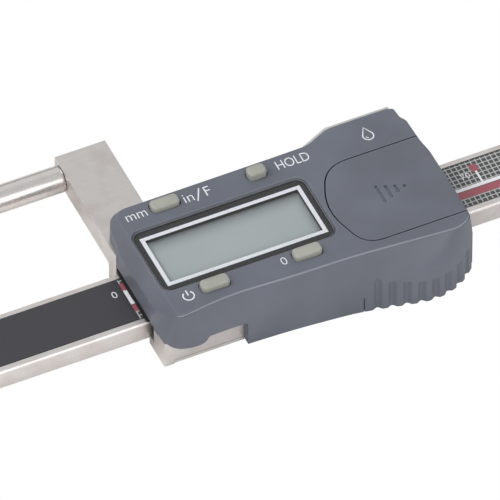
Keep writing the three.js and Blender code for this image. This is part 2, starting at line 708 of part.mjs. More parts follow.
function buildElectronics(group) {
  const w = windowBox;
  piece(group, 'display_window',
    plate(roundedRectangle(w.x0, w.x1, w.y0, w.y1, w.radius), windowBottomZ, windowTopZ, 4), windowPlastic);
  piece(group, 'window_gasket', cut(
    plate(roundedRectangle(w.x0, w.x1, w.y0, w.y1, w.radius), windowLedgeZ + 0.01, windowBottomZ - 0.01, 4),
    plate(roundedRectangle(w.x0 + 1, w.x1 - 1, w.y0 + 1, w.y1 - 1, w.radius - 1), 6, 8, 3)), blackRubber);
  piece(group, 'lcd_panel', box(5.0, 36.0, -6.6, 5.4, 4.95, panelTopZ), displayGrey);
  piece(group, 'lcd_holder', cut(box(4.1, 37.2, -8.0, 7.2, 4.15, 6.35),
    box(4.9, 36.1, -6.7, 5.5, 4.9, 7),
    box(5.6, 35.4, -5.0, 3.8, 4, 7),
    box(5.6, 35.4, -6.5, -5.4, 4, 7)), innerPlastic);
  piece(group, 'zebra_strip', box(5.7, 35.3, -6.4, -5.5, 4.13, 4.92), blackRubber);
  piece(group, 'circuit_board',
    cut(plate(bayShape(0.2), 3.3, 4.1, 4), ...bossClearances(3, 5)), circuitGreen);
  buttons.forEach((button) => {
    const dome = turned([[0, 0], [1.35, 0], [1.2, 0.18], [0.6, 0.28], [0, 0.3]], 16).rotateX(Math.PI / 2);
    piece(group, button.name.replace('button', 'contact_dome'), dome, cellSteel)
      .position.set(button.x, button.y, 4.11);
  });
  piece(group, 'board_carrier', cut(plate(bayShape(0.2), 2.05, 3.2, 4),
    box(0, 11.4, channelBackY - 0.3, 20, 0, 5),
    box(13, 39, -4, 4, 0, 5),
    ...bossClearances(1, 5)), innerPlastic);
  piece(group, 'board_connector', box(15, 25, -2, 2, 1.52, 3.27), innerPlastic);
  piece(group, 'pickup_board',
    box(pickupLeftX + 0.2, pickupRightX - 0.2, -8.1, 8.4, 0.5, 1.5), circuitGreen);
  piece(group, 'processor_chip', turned([[0, 0], [3.2, 0], [2.9, 0.5], [1.8, 0.75], [0, 0.8]], 20)
    .rotateX(-Math.PI / 2), innerPlastic).position.set(30, 0, 3.28);
  piece(group, 'coin_cell', turned([
    [0, cellBottomZ],
    [8.6, cellBottomZ],
    [8.8, cellBottomZ + 0.5],
    [9.7, cellBottomZ + 0.5],
    [cellRadius, cellBottomZ + 0.8],
    [cellRadius, cellTopZ - 0.3],
    [cellRadius - 0.3, cellTopZ],
    [0, cellTopZ],
  ], 36).rotateX(Math.PI / 2), cellSteel).position.set(cellX, cellY, 0);
  piece(group, 'battery_contact_negative', barAlongY(polygon([
    [35, 2.95],
    [35, 3.2],
    [38.9, 3.2],
    [44, 3.58],
    [47, 3.58],
    [49.5, 3.2],
    [49.5, 2.95],
    [47, 3.33],
    [44, 3.33],
    [38.9, 2.95],
  ]), -3.9, -1.3), brass);
  piece(group, 'battery_contact_positive', barAlongY(polygon([
    [37.4, 4.15],
    [41.6, 4.15],
    [41.6, 6.3],
    [41.4, 6.3],
    [41.4, 4.35],
    [37.4, 4.35],
  ]), 2.9, 5.1), brass);
}

// ---------------------------------------------------------------- the whole caliper

const caliper = new THREE.Group();
caliper.position.set(-fixedJawX, 0, -undersideZ);
caliper.add(buildBeamGroup());
const slider = new THREE.Group();
buildFrameFittings(slider);
buildHousing(slider);
buildElectronics(slider);
caliper.add(slider);

const model = new THREE.Group();
model.add(caliper);

export default model;
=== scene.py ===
"""Looks of a digital caliper with opposed round measuring rods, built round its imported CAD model.

Shapes are drawn in millimetres from the printed zero of the scale: x along the beam, y towards the
arms' ends, z up from the beam's top face. place() puts a finished mesh into the row frame in metres.
"""
import json
import math

import bmesh
import bpy
from mathutils import Matrix, Vector


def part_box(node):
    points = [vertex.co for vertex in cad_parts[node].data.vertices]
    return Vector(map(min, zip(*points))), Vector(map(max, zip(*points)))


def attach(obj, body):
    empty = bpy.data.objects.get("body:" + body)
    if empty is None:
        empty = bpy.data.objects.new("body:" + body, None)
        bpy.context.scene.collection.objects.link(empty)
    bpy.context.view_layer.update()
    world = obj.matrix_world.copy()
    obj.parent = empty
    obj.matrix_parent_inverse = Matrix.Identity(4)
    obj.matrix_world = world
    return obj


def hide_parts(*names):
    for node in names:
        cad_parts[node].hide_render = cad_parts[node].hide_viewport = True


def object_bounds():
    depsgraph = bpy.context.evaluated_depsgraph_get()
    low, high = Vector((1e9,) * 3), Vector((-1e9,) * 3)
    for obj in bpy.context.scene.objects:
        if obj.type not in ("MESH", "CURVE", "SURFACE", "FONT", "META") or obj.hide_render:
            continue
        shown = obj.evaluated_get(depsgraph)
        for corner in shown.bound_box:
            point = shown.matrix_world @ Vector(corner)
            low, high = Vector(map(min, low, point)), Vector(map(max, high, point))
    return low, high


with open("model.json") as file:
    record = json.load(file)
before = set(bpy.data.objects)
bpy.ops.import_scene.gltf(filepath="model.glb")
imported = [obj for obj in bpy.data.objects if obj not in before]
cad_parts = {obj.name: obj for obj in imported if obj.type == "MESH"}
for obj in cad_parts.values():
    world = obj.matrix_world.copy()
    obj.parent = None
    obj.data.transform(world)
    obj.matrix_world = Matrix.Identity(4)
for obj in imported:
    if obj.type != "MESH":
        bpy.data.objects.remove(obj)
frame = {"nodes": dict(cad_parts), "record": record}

CAD_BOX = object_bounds()
NODES = frame["nodes"]

MM = 0.001
REST_READING = 1.0
ZERO_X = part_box("slider_frame")[0].x / MM - REST_READING
BEAM_TOP_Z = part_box("beam")[1].z / MM
TO_ROW = Matrix.Scale(MM, 4) @ Matrix.Translation((ZERO_X, 0, BEAM_TOP_Z))

TOP_Z = 8.5
BOTTOM_Z = -5.0
PRINT_THICKNESS = 0.02
PRINT_LIFT = 0.004
LABEL_Z = TOP_Z + PRINT_LIFT
SHARP_ANGLE = math.radians(32)
# Stands up what was drawn flat: its y becomes z, and its z becomes -y.
UPRIGHT = Matrix(((1, 0, 0, 0), (0, 0, -1, 0), (0, 1, 0, 0), (0, 0, 0, 1)))


def local_box(node):
    """A CAD node's lowest and highest corner in the drawing's millimetres."""
    low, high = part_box(node)
    shift = Vector((ZERO_X, 0, BEAM_TOP_Z))
    return low / MM - shift, high / MM - shift


# ---------- node materials

def feed(value, socket):
    """Links a node's output to socket, or sets the socket to a plain value."""
    if isinstance(value, bpy.types.NodeSocket):
        socket.id_data.links.new(value, socket)
    else:
        socket.default_value = value


def new_node(tree, kind, **inputs):
    """A node whose inputs are fed by name."""
    node = tree.nodes.new(f"ShaderNode{kind}")
    for name, value in inputs.items():
        feed(value, node.inputs[name.replace("_", " ")])
    return node


class Shader:
    """A material's node tree with short ways to add the nodes that this script uses."""

    def __init__(self, name):
        self.material = bpy.data.materials.new(name)
        self.material.use_nodes = True
        self.tree = self.material.node_tree
        self.surface = self.tree.nodes["Principled BSDF"]
        self.position = self.node("TexCoord").outputs["Object"]

    def node(self, kind, **inputs):
        return new_node(self.tree, kind, **inputs)

    def axis(self, name):
        return self.node("SeparateXYZ", Vector=self.position).outputs[name]

    def drawing_position(self):
        """A point's x and y in the drawing's millimetres."""
        x = self.math("SUBTRACT", self.math("DIVIDE", self.axis("X"), MM), ZERO_X)
        return x, self.math("DIVIDE", self.axis("Y"), MM)

    def math(self, operation, a, b=0.0):
        node = self.node("Math")
        node.operation = operation
        feed(a, node.inputs[0])
        feed(b, node.inputs[1])
        return node.outputs[0]

    def band(self, value, low, high):
        """1 where value lies between low and high."""
        above = self.math("GREATER_THAN", value, low)
        return self.math("MULTIPLY", above, self.math("LESS_THAN", value, high))

    def stretch(self, scale):
        return self.node("Mapping", Vector=self.position, Scale=scale).outputs[0]

    def noise(self, scale, detail, vector=None, roughness=0.5):
        vector = vector or self.position
        node = self.node("TexNoise", Vector=vector, Scale=scale, Detail=detail, Roughness=roughness)
        return node.outputs["Fac"]

    def ramp(self, value, low, high, low_at=0.0, high_at=1.0):
        return self.node("MapRange", Value=value, From_Min=low_at, From_Max=high_at,
                         To_Min=low, To_Max=high).outputs[0]

    def mix(self, amount, first, second):
        node = self.node("Mix", Factor=amount)
        node.data_type = "RGBA"
        feed(first, node.inputs[6])
        feed(second, node.inputs[7])
        return node.outputs[2]

    def bump(self, height, distance, strength):
        node = self.node("Bump", Height=height, Distance=distance, Strength=strength)
        feed(node.outputs[0], self.surface.inputs["Normal"])

    def edge_wear(self, radius):
        """Painted highlight mask: 1 on the edges of faces that look upwards, 0 on flats and upright walls.
        """
        bevel = self.node("Bevel", Radius=radius)
        bevel.samples = 4
        flat = self.node("NewGeometry").outputs["True Normal"]
        dot = self.node("VectorMath")
        dot.operation = "DOT_PRODUCT"
        feed(bevel.outputs[0], dot.inputs[0])
        feed(flat, dot.inputs[1])
        upward = self.node("SeparateXYZ", Vector=flat).outputs["Z"]
        facing_up = self.ramp(upward, 0.0, 1.0, 0.1, 0.35)
        return self.math("MULTIPLY", facing_up, self.ramp(dot.outputs["Value"], 1.0, 0.0, 0.8, 0.985))

    def blend(self, amount, first, second):
        """Shows a mixture of two shaders and returns the finished material."""
        mixed = self.node("MixShader", Fac=amount)
        feed(first.outputs[0], mixed.inputs[1])
        feed(second.outputs[0], mixed.inputs[2])
        feed(mixed.outputs[0], self.tree.nodes["Material Output"].inputs["Surface"])
        return self.material

    def set(self, **values):
        """Feeds sockets of the surface by name and returns the finished material."""
        for name, value in values.items():
            feed(value, self.surface.inputs[name.replace("_", " ")])
        return self.material


def rgb(red, green, blue):
    return (red, green, blue, 1.0)


def scaled(base, factor, lift=0.0):
    """A colour made darker or lighter."""
    return rgb(*[min(1.0, part * factor + lift) for part in base])


def moulded_plastic(name, base, roughness):
    """Grained plastic with a cloudy colour, and a painted highlight that makes the edges of upward faces
    slightly paler.
    """
    shader = Shader(name)
    cloud = shader.noise(90.0, 3.0)
    fine = shader.noise(9000.0, 3.0, roughness=0.6)
    tint = shader.mix(shader.ramp(cloud, 0.0, 1.0, 0.3, 0.7), scaled(base, 0.93), scaled(base, 1.12, 0.004))
    # Painted highlight: upward edges are lightened in the colour, standing in for light caught on the edge.
    highlight_amount = shader.math("MULTIPLY", shader.edge_wear(0.0003), 0.6)
    highlighted_tint = shader.mix(highlight_amount, tint, scaled(base, 1.8, 0.03))
    shader.bump(fine, 0.00001, 0.5)
    rough = shader.ramp(fine, roughness - 0.05, roughness + 0.07, 0.3, 0.7)
    return shader.set(Base_Color=highlighted_tint, Roughness=rough)


def ground_steel(name, base, roughness, lay):
    """Steel with fine scratches along the axis lay and faint warm stains."""
    shader = Shader(name)
    stretched = shader.stretch([30.0 if axis == lay else 1500.0 for axis in "XYZ"])
    scratches = shader.noise(9.0, 4.0, stretched, 0.7)
    cloud = shader.noise(260.0, 4.0)
    tint = shader.mix(shader.ramp(scratches, 0.0, 1.0, 0.3, 0.7), scaled(base, 0.88), scaled(base, 1.06))
    warm_stain = rgb(base[0] * 0.88, base[1] * 0.83, base[2] * 0.81)
    stained = shader.mix(shader.ramp(cloud, 0.0, 0.7, 0.45, 0.68), tint, warm_stain)
    shader.bump(scratches, 0.000006, 0.35)
    rough = shader.math("ADD", shader.ramp(scratches, roughness - 0.04, roughness + 0.08, 0.3, 0.7),
                        shader.ramp(cloud, 0.0, 0.05, 0.4, 0.7))
    return shader.set(Base_Color=stained, Roughness=rough, Metallic=1.0)


def printed_white():
    shader = Shader("printed_white")
    speckle = shader.noise(4000.0, 2.0)
    tint = shader.mix(shader.ramp(speckle, 0.0, 1.0, 0.35, 0.6), rgb(0.70, 0.71, 0.75), rgb(0.86, 0.87, 0.9))
    shader.bump(speckle, 0.000004, 0.3)
    return shader.set(Base_Color=tint, Roughness=0.5)


def rubber(name, base):
    shader = Shader(name)
    grain = shader.noise(6000.0, 3.0)
    tint = shader.mix(grain, scaled(base, 0.7), scaled(base, 1.5))
    shader.bump(grain, 0.00001, 0.5)
    return shader.set(Base_Color=tint, Roughness=shader.ramp(grain, 0.65, 0.9), Specular_IOR_Level=0.2)


TRACE_PITCH = 0.8


def circuit_green():
    """Green solder mask over parallel copper traces."""
    shader = Shader("solder_mask")
    bands = shader.math("FRACT", shader.math("MULTIPLY", shader.axis("X"), 1 / (TRACE_PITCH * MM)))
    trace = shader.math("LESS_THAN", bands, 0.45)
    tint = shader.mix(trace, rgb(0.012, 0.075, 0.04), rgb(0.03, 0.14, 0.075))
    shader.bump(trace, 0.00003, 0.4)
    return shader.set(Base_Color=tint, Roughness=0.35)


SCALE_END = 152.0
GRID_PITCH = 1.0
GRID_ROW_OFFSET = -0.3
NUMBER_PITCH = 10.0
LINE_HALF = 0.105
TICK_HALF = 0.2
PATCH_HALF = 0.7
PRINT_FROM_X = -0.16
ZERO_TICK_X = (-0.2, 0.55)
# Lowest and highest y of each printed row.
BACK_LINE = (5.05, 6.0)
WHITE_STRIPE = (-1.27, -0.55)
RED_STRIPE = (-3.15, -1.42)
STRIPE_SHADOW = (-1.5, -1.34)
NUMBER_PATCH = (2.2, 4.1)
NUMBER_TICK = (-0.6, 2.35)
ZERO_TICK = (-0.6, 2.2)


def scale_print():
    """The film: plain black left of zero, then a millimetre grid with a white and a red stripe."""
    shader = Shader("scale_print")
    x, y = shader.drawing_position()
    ink = shader.noise(5000.0, 2.0)
    black = shader.mix(ink, rgb(0.022, 0.021, 0.026), rgb(0.038, 0.037, 0.045))
    cell = shader.mix(ink, rgb(0.03, 0.034, 0.036), rgb(0.075, 0.08, 0.08))
    line = shader.mix(ink, rgb(0.38, 0.39, 0.385), rgb(0.52, 0.53, 0.52))

    def lines(value, offset):
        cells = shader.math("DIVIDE", shader.math("SUBTRACT", value, offset), GRID_PITCH)
        phase = shader.math("FRACT", cells)
        near = shader.math("MINIMUM", phase, shader.math("SUBTRACT", 1.0, phase))
        return shader.math("LESS_THAN", near, LINE_HALF / GRID_PITCH)

    columns = lines(x, 0.0)
    rows = lines(y, GRID_ROW_OFFSET)
    grid = shader.mix(shader.math("MAXIMUM", columns, rows), cell, line)
    white = rgb(0.80, 0.80, 0.84)
    red = shader.mix(ink, rgb(0.25, 0.055, 0.075), rgb(0.42, 0.11, 0.14))
    for stripe, colour in ((BACK_LINE, rgb(0.03, 0.03, 0.03)), (WHITE_STRIPE, white), (RED_STRIPE, red),
                           (STRIPE_SHADOW, rgb(0.10, 0.08, 0.09))):
        grid = shader.mix(shader.band(y, *stripe), grid, colour)

    phase = shader.math("FRACT", shader.math("ADD", shader.math("DIVIDE", x, NUMBER_PITCH), 0.5))
    from_number = shader.math("ABSOLUTE", shader.math("SUBTRACT", phase, 0.5))
    from_number = shader.math("MULTIPLY", from_number, NUMBER_PITCH)
    for half, rows, colour in ((PATCH_HALF, NUMBER_PATCH, red), (TICK_HALF, NUMBER_TICK, white)):
        near = shader.math("LESS_THAN", from_number, half)
        grid = shader.mix(shader.math("MULTIPLY", near, shader.band(y, *rows)), grid, colour)
    zero_mark = shader.math("MULTIPLY", shader.band(x, *ZERO_TICK_X), shader.band(y, *ZERO_TICK))
    grid = shader.mix(zero_mark, grid, white)

    printed = shader.band(x, PRINT_FROM_X, SCALE_END)
    tint = shader.mix(printed, black, grid)
    wave = shader.noise(300.0, 2.0)
    shader.bump(shader.math("ADD", ink, wave), 0.000004, 0.25)
    rough = shader.ramp(wave, 0.35, 0.45)
    return shader.set(Base_Color=tint, Roughness=rough, Coat_Weight=0.25, Coat_Roughness=0.25)


def display_grey():
    """The blank liquid crystal panel: grey green and cloudy, with painted shadow of the window's border
    along its back and its ends.
    """
    shader = Shader("display_grey")
    cloud = shader.noise(60.0, 2.0)
    dots = shader.noise(12000.0, 1.0)
    tint = shader.mix(shader.ramp(cloud, 0.0, 1.0, 0.3, 0.7), rgb(0.36, 0.405, 0.41), rgb(0.40, 0.44, 0.44))
    tint = shader.mix(shader.ramp(dots, 0.0, 0.12), tint, rgb(0.5, 0.52, 0.5))
    x, y = shader.drawing_position()
    # Painted shadow: the panel darkens towards its back and its ends, under the window's border.
    at_back = shader.math("POWER", shader.ramp(y, 0.0, 1.0, 1.6, 5.3), 1.5)
    at_left = shader.ramp(x, 0.7, 0.0, 5.4, 6.3)
    at_right = shader.math("POWER", shader.ramp(x, 0.0, 0.8, 33.6, 36.0), 1.6)
    shade = shader.math("MAXIMUM", at_back, shader.math("MAXIMUM", at_left, at_right))
    tint = shader.mix(shader.math("MULTIPLY", shade, 0.8), tint, rgb(0.10, 0.105, 0.11))
    shader.bump(cloud, 0.000002, 0.2)
    return shader.set(Base_Color=tint, Roughness=0.32)


def clear_window():
    """Clear plastic: mostly transparent, with a mirror share that grows at grazing angles."""
    shader = Shader("clear_window")
    clear = shader.node("BsdfTransparent", Color=rgb(0.97, 0.975, 0.98))
    smear = shader.ramp(shader.noise(250.0, 3.0), 0.02, 0.09, 0.35, 0.7)
    mirror = shader.node("BsdfGlossy", Roughness=smear)
    fresnel = shader.node("Fresnel", IOR=1.45).outputs[0]
    outside = shader.math("SUBTRACT", 1.0, shader.node("NewGeometry").outputs["Backfacing"])
    return shader.blend(shader.math("MULTIPLY", fresnel, outside), clear, mirror)


MATERIALS = {
    "ground_steel": ground_steel("steel_ground_along_beam", (0.77, 0.742, 0.73), 0.34, "X"),
    "arm_steel": ground_steel("steel_ground_along_arm", (0.71, 0.682, 0.668), 0.38, "X"),
    "rod_steel": ground_steel("steel_rod", (0.78, 0.75, 0.73), 0.22, "X"),
    "dark_screws": ground_steel("steel_blackened", (0.16, 0.16, 0.17), 0.35, "Z"),
    "housing_plastic": moulded_plastic("housing_grey", (0.119, 0.130, 0.162), 0.46),
    # A lighter copy of the housing grey: painted highlight for the crest bead.
    "crest_highlight_plastic": moulded_plastic("housing_crest_painted_highlight", (0.20, 0.213, 0.25), 0.4),
    "rim_dark": moulded_plastic("window_rim_grey", (0.15, 0.155, 0.17), 0.35),
    # Pale grey, partly a painted highlight on the bump's back edge.
    "pale_rim_and_highlight_plastic": moulded_plastic("bump_rim_grey_and_highlight", (0.46, 0.46, 0.45), 0.5),
    "button_plastic": moulded_plastic("button_grey_green", (0.34, 0.345, 0.307), 0.5),
    "black_rubber": rubber("wiper_rubber", (0.012, 0.012, 0.013)),
    "inner_plastic": moulded_plastic("inner_black", (0.022, 0.022, 0.026), 0.5),
    "scale_film": scale_print(),
    "circuit_board": circuit_green(),
    "display_grey": display_grey(),
    "display_window": clear_window(),
    "spring_brass": ground_steel("spring_brass", (0.60, 0.44, 0.19), 0.3, "Y"),
    "cell_steel": ground_steel("nickel_plate", (0.55, 0.54, 0.52), 0.34, "X"),
    "printed_white": printed_white(),
    "window_border": moulded_plastic("window_border", (0.010, 0.0095, 0.011), 0.5),
}


# ---------- mesh helpers

def xy(x, y):
    """A point of a flat drawing."""
    return Vector((x, y, 0))


def add_object(name, data):
    added = bpy.data.objects.new(name, data)
    bpy.context.scene.collection.objects.link(added)
    return added


def place(name, bm, body, material, replaces=(), smooth=True, rounding=0):
    """Turns a mesh drawn in millimetres into a piece of the model that rides on body."""
    bmesh.ops.recalc_face_normals(bm, faces=bm.faces)
    mesh = bpy.data.meshes.new(name)
    bm.to_mesh(mesh)
    bm.free()
    mesh.transform(TO_ROW)
    if smooth:
        mesh.shade_smooth()
        mesh.set_sharp_from_angle(angle=SHARP_ANGLE)
    piece = add_object(name, mesh)
    mesh.materials.append(MATERIALS[material])
    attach(piece, body)
    if replaces:
        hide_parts(*replaces)
    if rounding:
        round_edges(piece, rounding)


def loft(rings):
    """A closed solid from rings of equal length, capped at both ends."""
    bm = bmesh.new()
    rows = [[bm.verts.new(point) for point in ring] for ring in rings]
    count = len(rings[0])
    for lower, upper in zip(rows, rows[1:]):
        for i in range(count):
            j = (i + 1) % count
            bm.faces.new((lower[i], lower[j], upper[j], upper[i]))
    bm.faces.new(list(reversed(rows[0])))
    bm.faces.new(rows[-1])
    return bm


def corner_curve(start, corner, end, count):
    """Points of a curve from start to end that leans towards the corner."""
    shares = [k / (count - 1) for k in range(count)]
    return [start.lerp(corner, t).lerp(corner.lerp(end, t), t) for t in shares]


def rounded_loop(corners, arc_points, edge_points):
    """Points round a loop of (point, radius) corners. Each corner becomes a curve whose ends lie
    radius away from it, and the edge after corner i gets edge_points[i] points."""
    count = len(corners)
    points = []
    for i, (corner, radius) in enumerate(corners):
        before = corners[i - 1][0]
        after, after_radius = corners[(i + 1) % count]
        start = corner + (before - corner).normalized() * radius
        end = corner + (after - corner).normalized() * radius
        points += corner_curve(start, corner, end, arc_points)
        next_start = after + (corner - after).normalized() * after_radius
        for k in range(1, edge_points[i] + 1):
            points.append(end.lerp(next_start, k / (edge_points[i] + 1)))
    return points


def bezier(start, first, second, end, steps):
    """Points of a cubic curve from start to end."""
    points = []
    for k in range(steps + 1):
        t = k / steps
        rest = 1 - t
        points.append(start * rest ** 3 + first * (3 * t * rest ** 2)
                      + second * (3 * t * t * rest) + end * t ** 3)
    return points


def rounded_rectangle(x0, x1, y0, y1, radius, steps=10):
    points = []
    for cx, cy, first in ((x1 - radius, y0 + radius, -90), (x1 - radius, y1 - radius, 0),
                          (x0 + radius, y1 - radius, 90), (x0 + radius, y0 + radius, 180)):
        for k in range(steps + 1):
            angle = math.radians(first + 90 * k / steps)
            points.append(xy(cx + radius * math.cos(angle), cy + radius * math.sin(angle)))
    return points


def rectangle_in(low, high, inset, radius, steps=10):
    return rounded_rectangle(low.x + inset, high.x - inset, low.y + inset, high.y - inset, radius, steps)


def arc(centre, radius, first, last, steps):
    """Points on a circle from one angle to another, in degrees."""
    angles = [math.radians(first + (last - first) * k / steps) for k in range(steps + 1)]
    return [centre + xy(radius * math.cos(a), radius * math.sin(a)) for a in angles]


def at_height(points, z):
    return [Vector((p.x, p.y, z)) for p in points]


def grown(points, distance):
    """A counterclockwise loop moved outwards by distance."""
    count = len(points)
    moved = []
    for i, point in enumerate(points):
        along = points[(i + 1) % count] - points[i - 1]
        outward = xy(along.y, -along.x).normalized()
        moved.append(point + outward * distance)
    return moved


def prism(points, z0, z1):
    return loft([at_height(points, z0), at_height(points, z1)])


def box_bm(x0, x1, y0, y1, z0, z1):
    corners = [xy(x0, y0), xy(x1, y0), xy(x1, y1), xy(x0, y1)]
    return prism(corners, z0, z1)


def turned_bm(profile, segments, axis_matrix=Matrix.Identity(4)):
    """A solid turned round +Z from (radius, height) pairs that start and end at radius 0."""
    bm = bmesh.new()
    angles = [2 * math.pi * k / segments for k in range(segments)]
    rings = []
    for radius, height in profile[1:-1]:
        rings.append([bm.verts.new((radius * math.cos(a), radius * math.sin(a), height)) for a in angles])
    low = bm.verts.new((0, 0, profile[0][1]))
    high = bm.verts.new((0, 0, profile[-1][1]))
    for k in range(segments):
        j = (k + 1) % segments
        bm.faces.new((low, rings[0][j], rings[0][k]))
        bm.faces.new((high, rings[-1][k], rings[-1][j]))
        for lower, upper in zip(rings, rings[1:]):
            bm.faces.new((lower[k], lower[j], upper[j], upper[k]))
    bm.transform(axis_matrix)
    return bm


def evaluated_bm(source):
    """An object's mesh after its modifiers."""
    bm = bmesh.new()
    bm.from_mesh(source.evaluated_get(bpy.context.evaluated_depsgraph_get()).to_mesh())
    return bm


def combine(bm, tools, operation):
    """bm joined with, cut by or kept inside the tools, as a new bmesh."""
    def as_object(source, name):
        bmesh.ops.recalc_face_normals(source, faces=source.faces)
        mesh = bpy.data.meshes.new(name)
        source.to_mesh(mesh)
        source.free()
        return add_object(name, mesh)

    target = as_object(bm, "combine_target")
    helpers = [target]
    for i, tool in enumerate(tools):
        helper = as_object(tool, f"combine_tool_{i}")
        helpers.append(helper)
        modifier = target.modifiers.new("boolean", "BOOLEAN")
        modifier.operation = operation
        modifier.solver = "MANIFOLD"
        modifier.object = helper
    result = evaluated_bm(target)
    for helper in helpers:
        bpy.data.objects.remove(helper)
    bmesh.ops.dissolve_degenerate(result, edges=result.edges, dist=1e-5)
    return result


def ribbon_bm(points, width, thickness, z, closed):
    """A flat strip along points, on height z."""
    count = len(points)
    bm = bmesh.new()
    sections = []
    for i, point in enumerate(points):
        before = points[i - 1] if closed or i > 0 else point
        after = points[(i + 1) % count] if closed or i < count - 1 else point
        along = (after - before).normalized()
        side = xy(-along.y, along.x) * (width / 2)
        low = Vector((0, 0, z))
        high = Vector((0, 0, z + thickness))
        sections.append([bm.verts.new(p) for p in (
            point - side + low, point + side + low, point + side + high, point - side + high)])
    pairs = list(zip(sections, sections[1:]))
    if closed:
        pairs.append((sections[-1], sections[0]))
    for first, second in pairs:
        for k in range(4):
            j = (k + 1) % 4
            bm.faces.new((first[k], first[j], second[j], second[k]))
    if not closed:
        bm.faces.new(sections[0])
        bm.faces.new(list(reversed(sections[-1])))
    return bm


def printed_line(points, width, closed=False):
    return ribbon_bm(points, width, PRINT_THICKNESS, LABEL_Z, closed)


def text_bm(words, size, x, y, weight, z=LABEL_Z, thickness=PRINT_THICKNESS, spacing=1.0,
            anchor="CENTER", stretch=(1.0, 1.0)):
    """Lettering as a thin solid at (x, y) on height z, stretched along x and y."""
    curve = bpy.data.curves.new("lettering", "FONT")
    curve.body = words
    curve.size = size
    curve.extrude = thickness / 2
    curve.offset = weight
    curve.space_character = spacing
    curve.align_x = anchor
    curve.align_y = "CENTER"
    curve.resolution_u = 6
    helper = add_object("lettering", curve)
    bm = evaluated_bm(helper)
    bpy.data.objects.remove(helper)
    bmesh.ops.remove_doubles(bm, verts=bm.verts, dist=1e-4)
    bm.transform(Matrix.Translation((x, y, z + thickness / 2)) @ Matrix.Diagonal((*stretch, 1.0, 1.0)))
    return bm


def merge_bm(parts):
    merged = bmesh.new()
    for part in parts:
        mesh = bpy.data.meshes.new("part")
        part.to_mesh(mesh)
        part.free()
        merged.from_mesh(mesh)
        bpy.data.meshes.remove(mesh)
    return merged


# ---------- housing

# Each corner of the housing: its place at the bottom edge, at the crease and at the top face.
HOUSING_CORNERS = [
    # bottom x, y, radius | crease x, y, z, radius | top x, y, radius | points on the next edge
    ((1.02, -3.0, 1.0), (1.15, -3.0, 4.9, 1.0), (2.95, -3.0, 1.0), 3),
    ((0.92, -8.6, 0.3), (1.15, -8.2, 4.9, 2.5), (2.95, -8.2, 2.5), 5),
    ((0.98, -15.0, 3.0), (3.05, -14.75, 7.8, 1.7), (3.4, -14.35, 1.5), 8),
    ((13.0, -14.55, 3.0), (13.3, -13.5, 8.36, 5.0), (13.35, -13.28, 5.0), 8),
    ((26.0, -15.0, 5.0), (25.5, -14.15, 8.36, 5.0), (25.5, -13.92, 5.0), 8),
    ((38.0, -16.1, 3.0), (38.0, -14.35, 8.36, 4.0), (38.0, -14.12, 4.0), 14),
    ((56.0, -20.2, 7.6), (58.6, -15.95, 8.34, 2.2), (58.4, -15.7, 2.0), 3),
    ((61.85, -14.0, 0.8), (61.25, -13.9, 7.9, 1.0), (60.85, -13.6, 1.0), 5),
    ((61.6, -6.0, 3.0), (61.3, -6.0, 8.1, 3.0), (61.0, -6.0, 3.0), 5),
    ((61.45, 3.6, 1.0), (61.2, 3.6, 8.2, 1.0), (60.9, 3.6, 1.0), 1),
    ((60.9, 6.4, 1.0), (60.75, 6.4, 8.2, 1.0), (60.4, 6.3, 1.0), 3),
    ((60.7, 12.2, 0.5), (60.6, 12.1, 8.2, 0.5), (60.25, 11.9, 0.5), 1),
    ((60.0, 13.2, 0.4), (59.9, 13.2, 8.2, 0.4), (59.6, 12.9, 0.4), 2),
    ((59.8, 15.7, 0.4), (59.7, 15.65, 8.2, 0.4), (59.35, 15.3, 0.4), 1),
    ((58.4, 16.15, 0.4), (58.4, 16.1, 8.2, 0.4), (58.25, 15.75, 0.4), 5),
    ((46.4, 16.1, 1.2), (46.4, 16.1, 8.2, 1.2), (46.5, 15.75, 1.2), 3),
    ((41.7, 13.9, 1.2), (41.7, 13.9, 8.2, 1.2), (41.8, 13.55, 1.2), 10),
    ((1.6, 13.9, 3.0), (1.9, 13.9, 7.4, 2.8), (3.1, 13.4, 2.4), 2),
    ((1.42, 8.6, 0.5), (1.45, 8.6, 5.4, 0.7), (2.95, 8.6, 0.7), 1),
    ((0.96, 7.5, 0.4), (1.15, 7.2, 4.9, 0.7), (2.95, 7.2, 0.7), 3),
]
CORNER_POINTS = 9
WALL_UPRIGHT_SHARE = 0.5
WALL_LEAN_POWER = 1.5
WALL_LEVELS = 20
FLAT_INSET = 0.45
FILLET_POINTS = 5
LONGEST_FILLET_SHARE = 0.45
CREASE_ROUNDING = 0.12
TOP_ROUNDING = 0.12
FLUTE_COUNT = 9
FLUTE_PITCH = 2.72
FLUTE_HALF_WIDTH = 1.05
FLUTE_DEPTH = 0.55
FLUTE_RUN_OUT = 1.0
FLUTE_FIRST_X = 41.6
FLUTE_TOP_LOW_Z = 0.5
FLUTE_TOP_RISE = 2.5
FLUTE_STEPS = 16
FLUTE_REACH = 1.5
FRONT_WALL_Y = -12


def housing_loops():
    """The housing's outline at its bottom edge, at its crease and at its top face."""
    edge_points = [row[3] for row in HOUSING_CORNERS]
    bottom = [(Vector((x, y, BOTTOM_Z)), radius) for (x, y, radius), _, _, _ in HOUSING_CORNERS]
    crease = [(Vector((x, y, z)), radius) for _, (x, y, z, radius), _, _ in HOUSING_CORNERS]
    top = [(Vector((x, y, TOP_Z)), radius) for _, _, (x, y, radius), _ in HOUSING_CORNERS]
    return [rounded_loop(corners, CORNER_POINTS, edge_points) for corners in (bottom, crease, top)]


def fillet(before, corner, after, size):
    """Points of a curve that cuts a corner, size away from it at both ends."""
    start, end = [corner + side.normalized() * min(size, side.length * LONGEST_FILLET_SHARE)
                  for side in (before - corner, after - corner)]
    return corner_curve(start, corner, end, FILLET_POINTS)


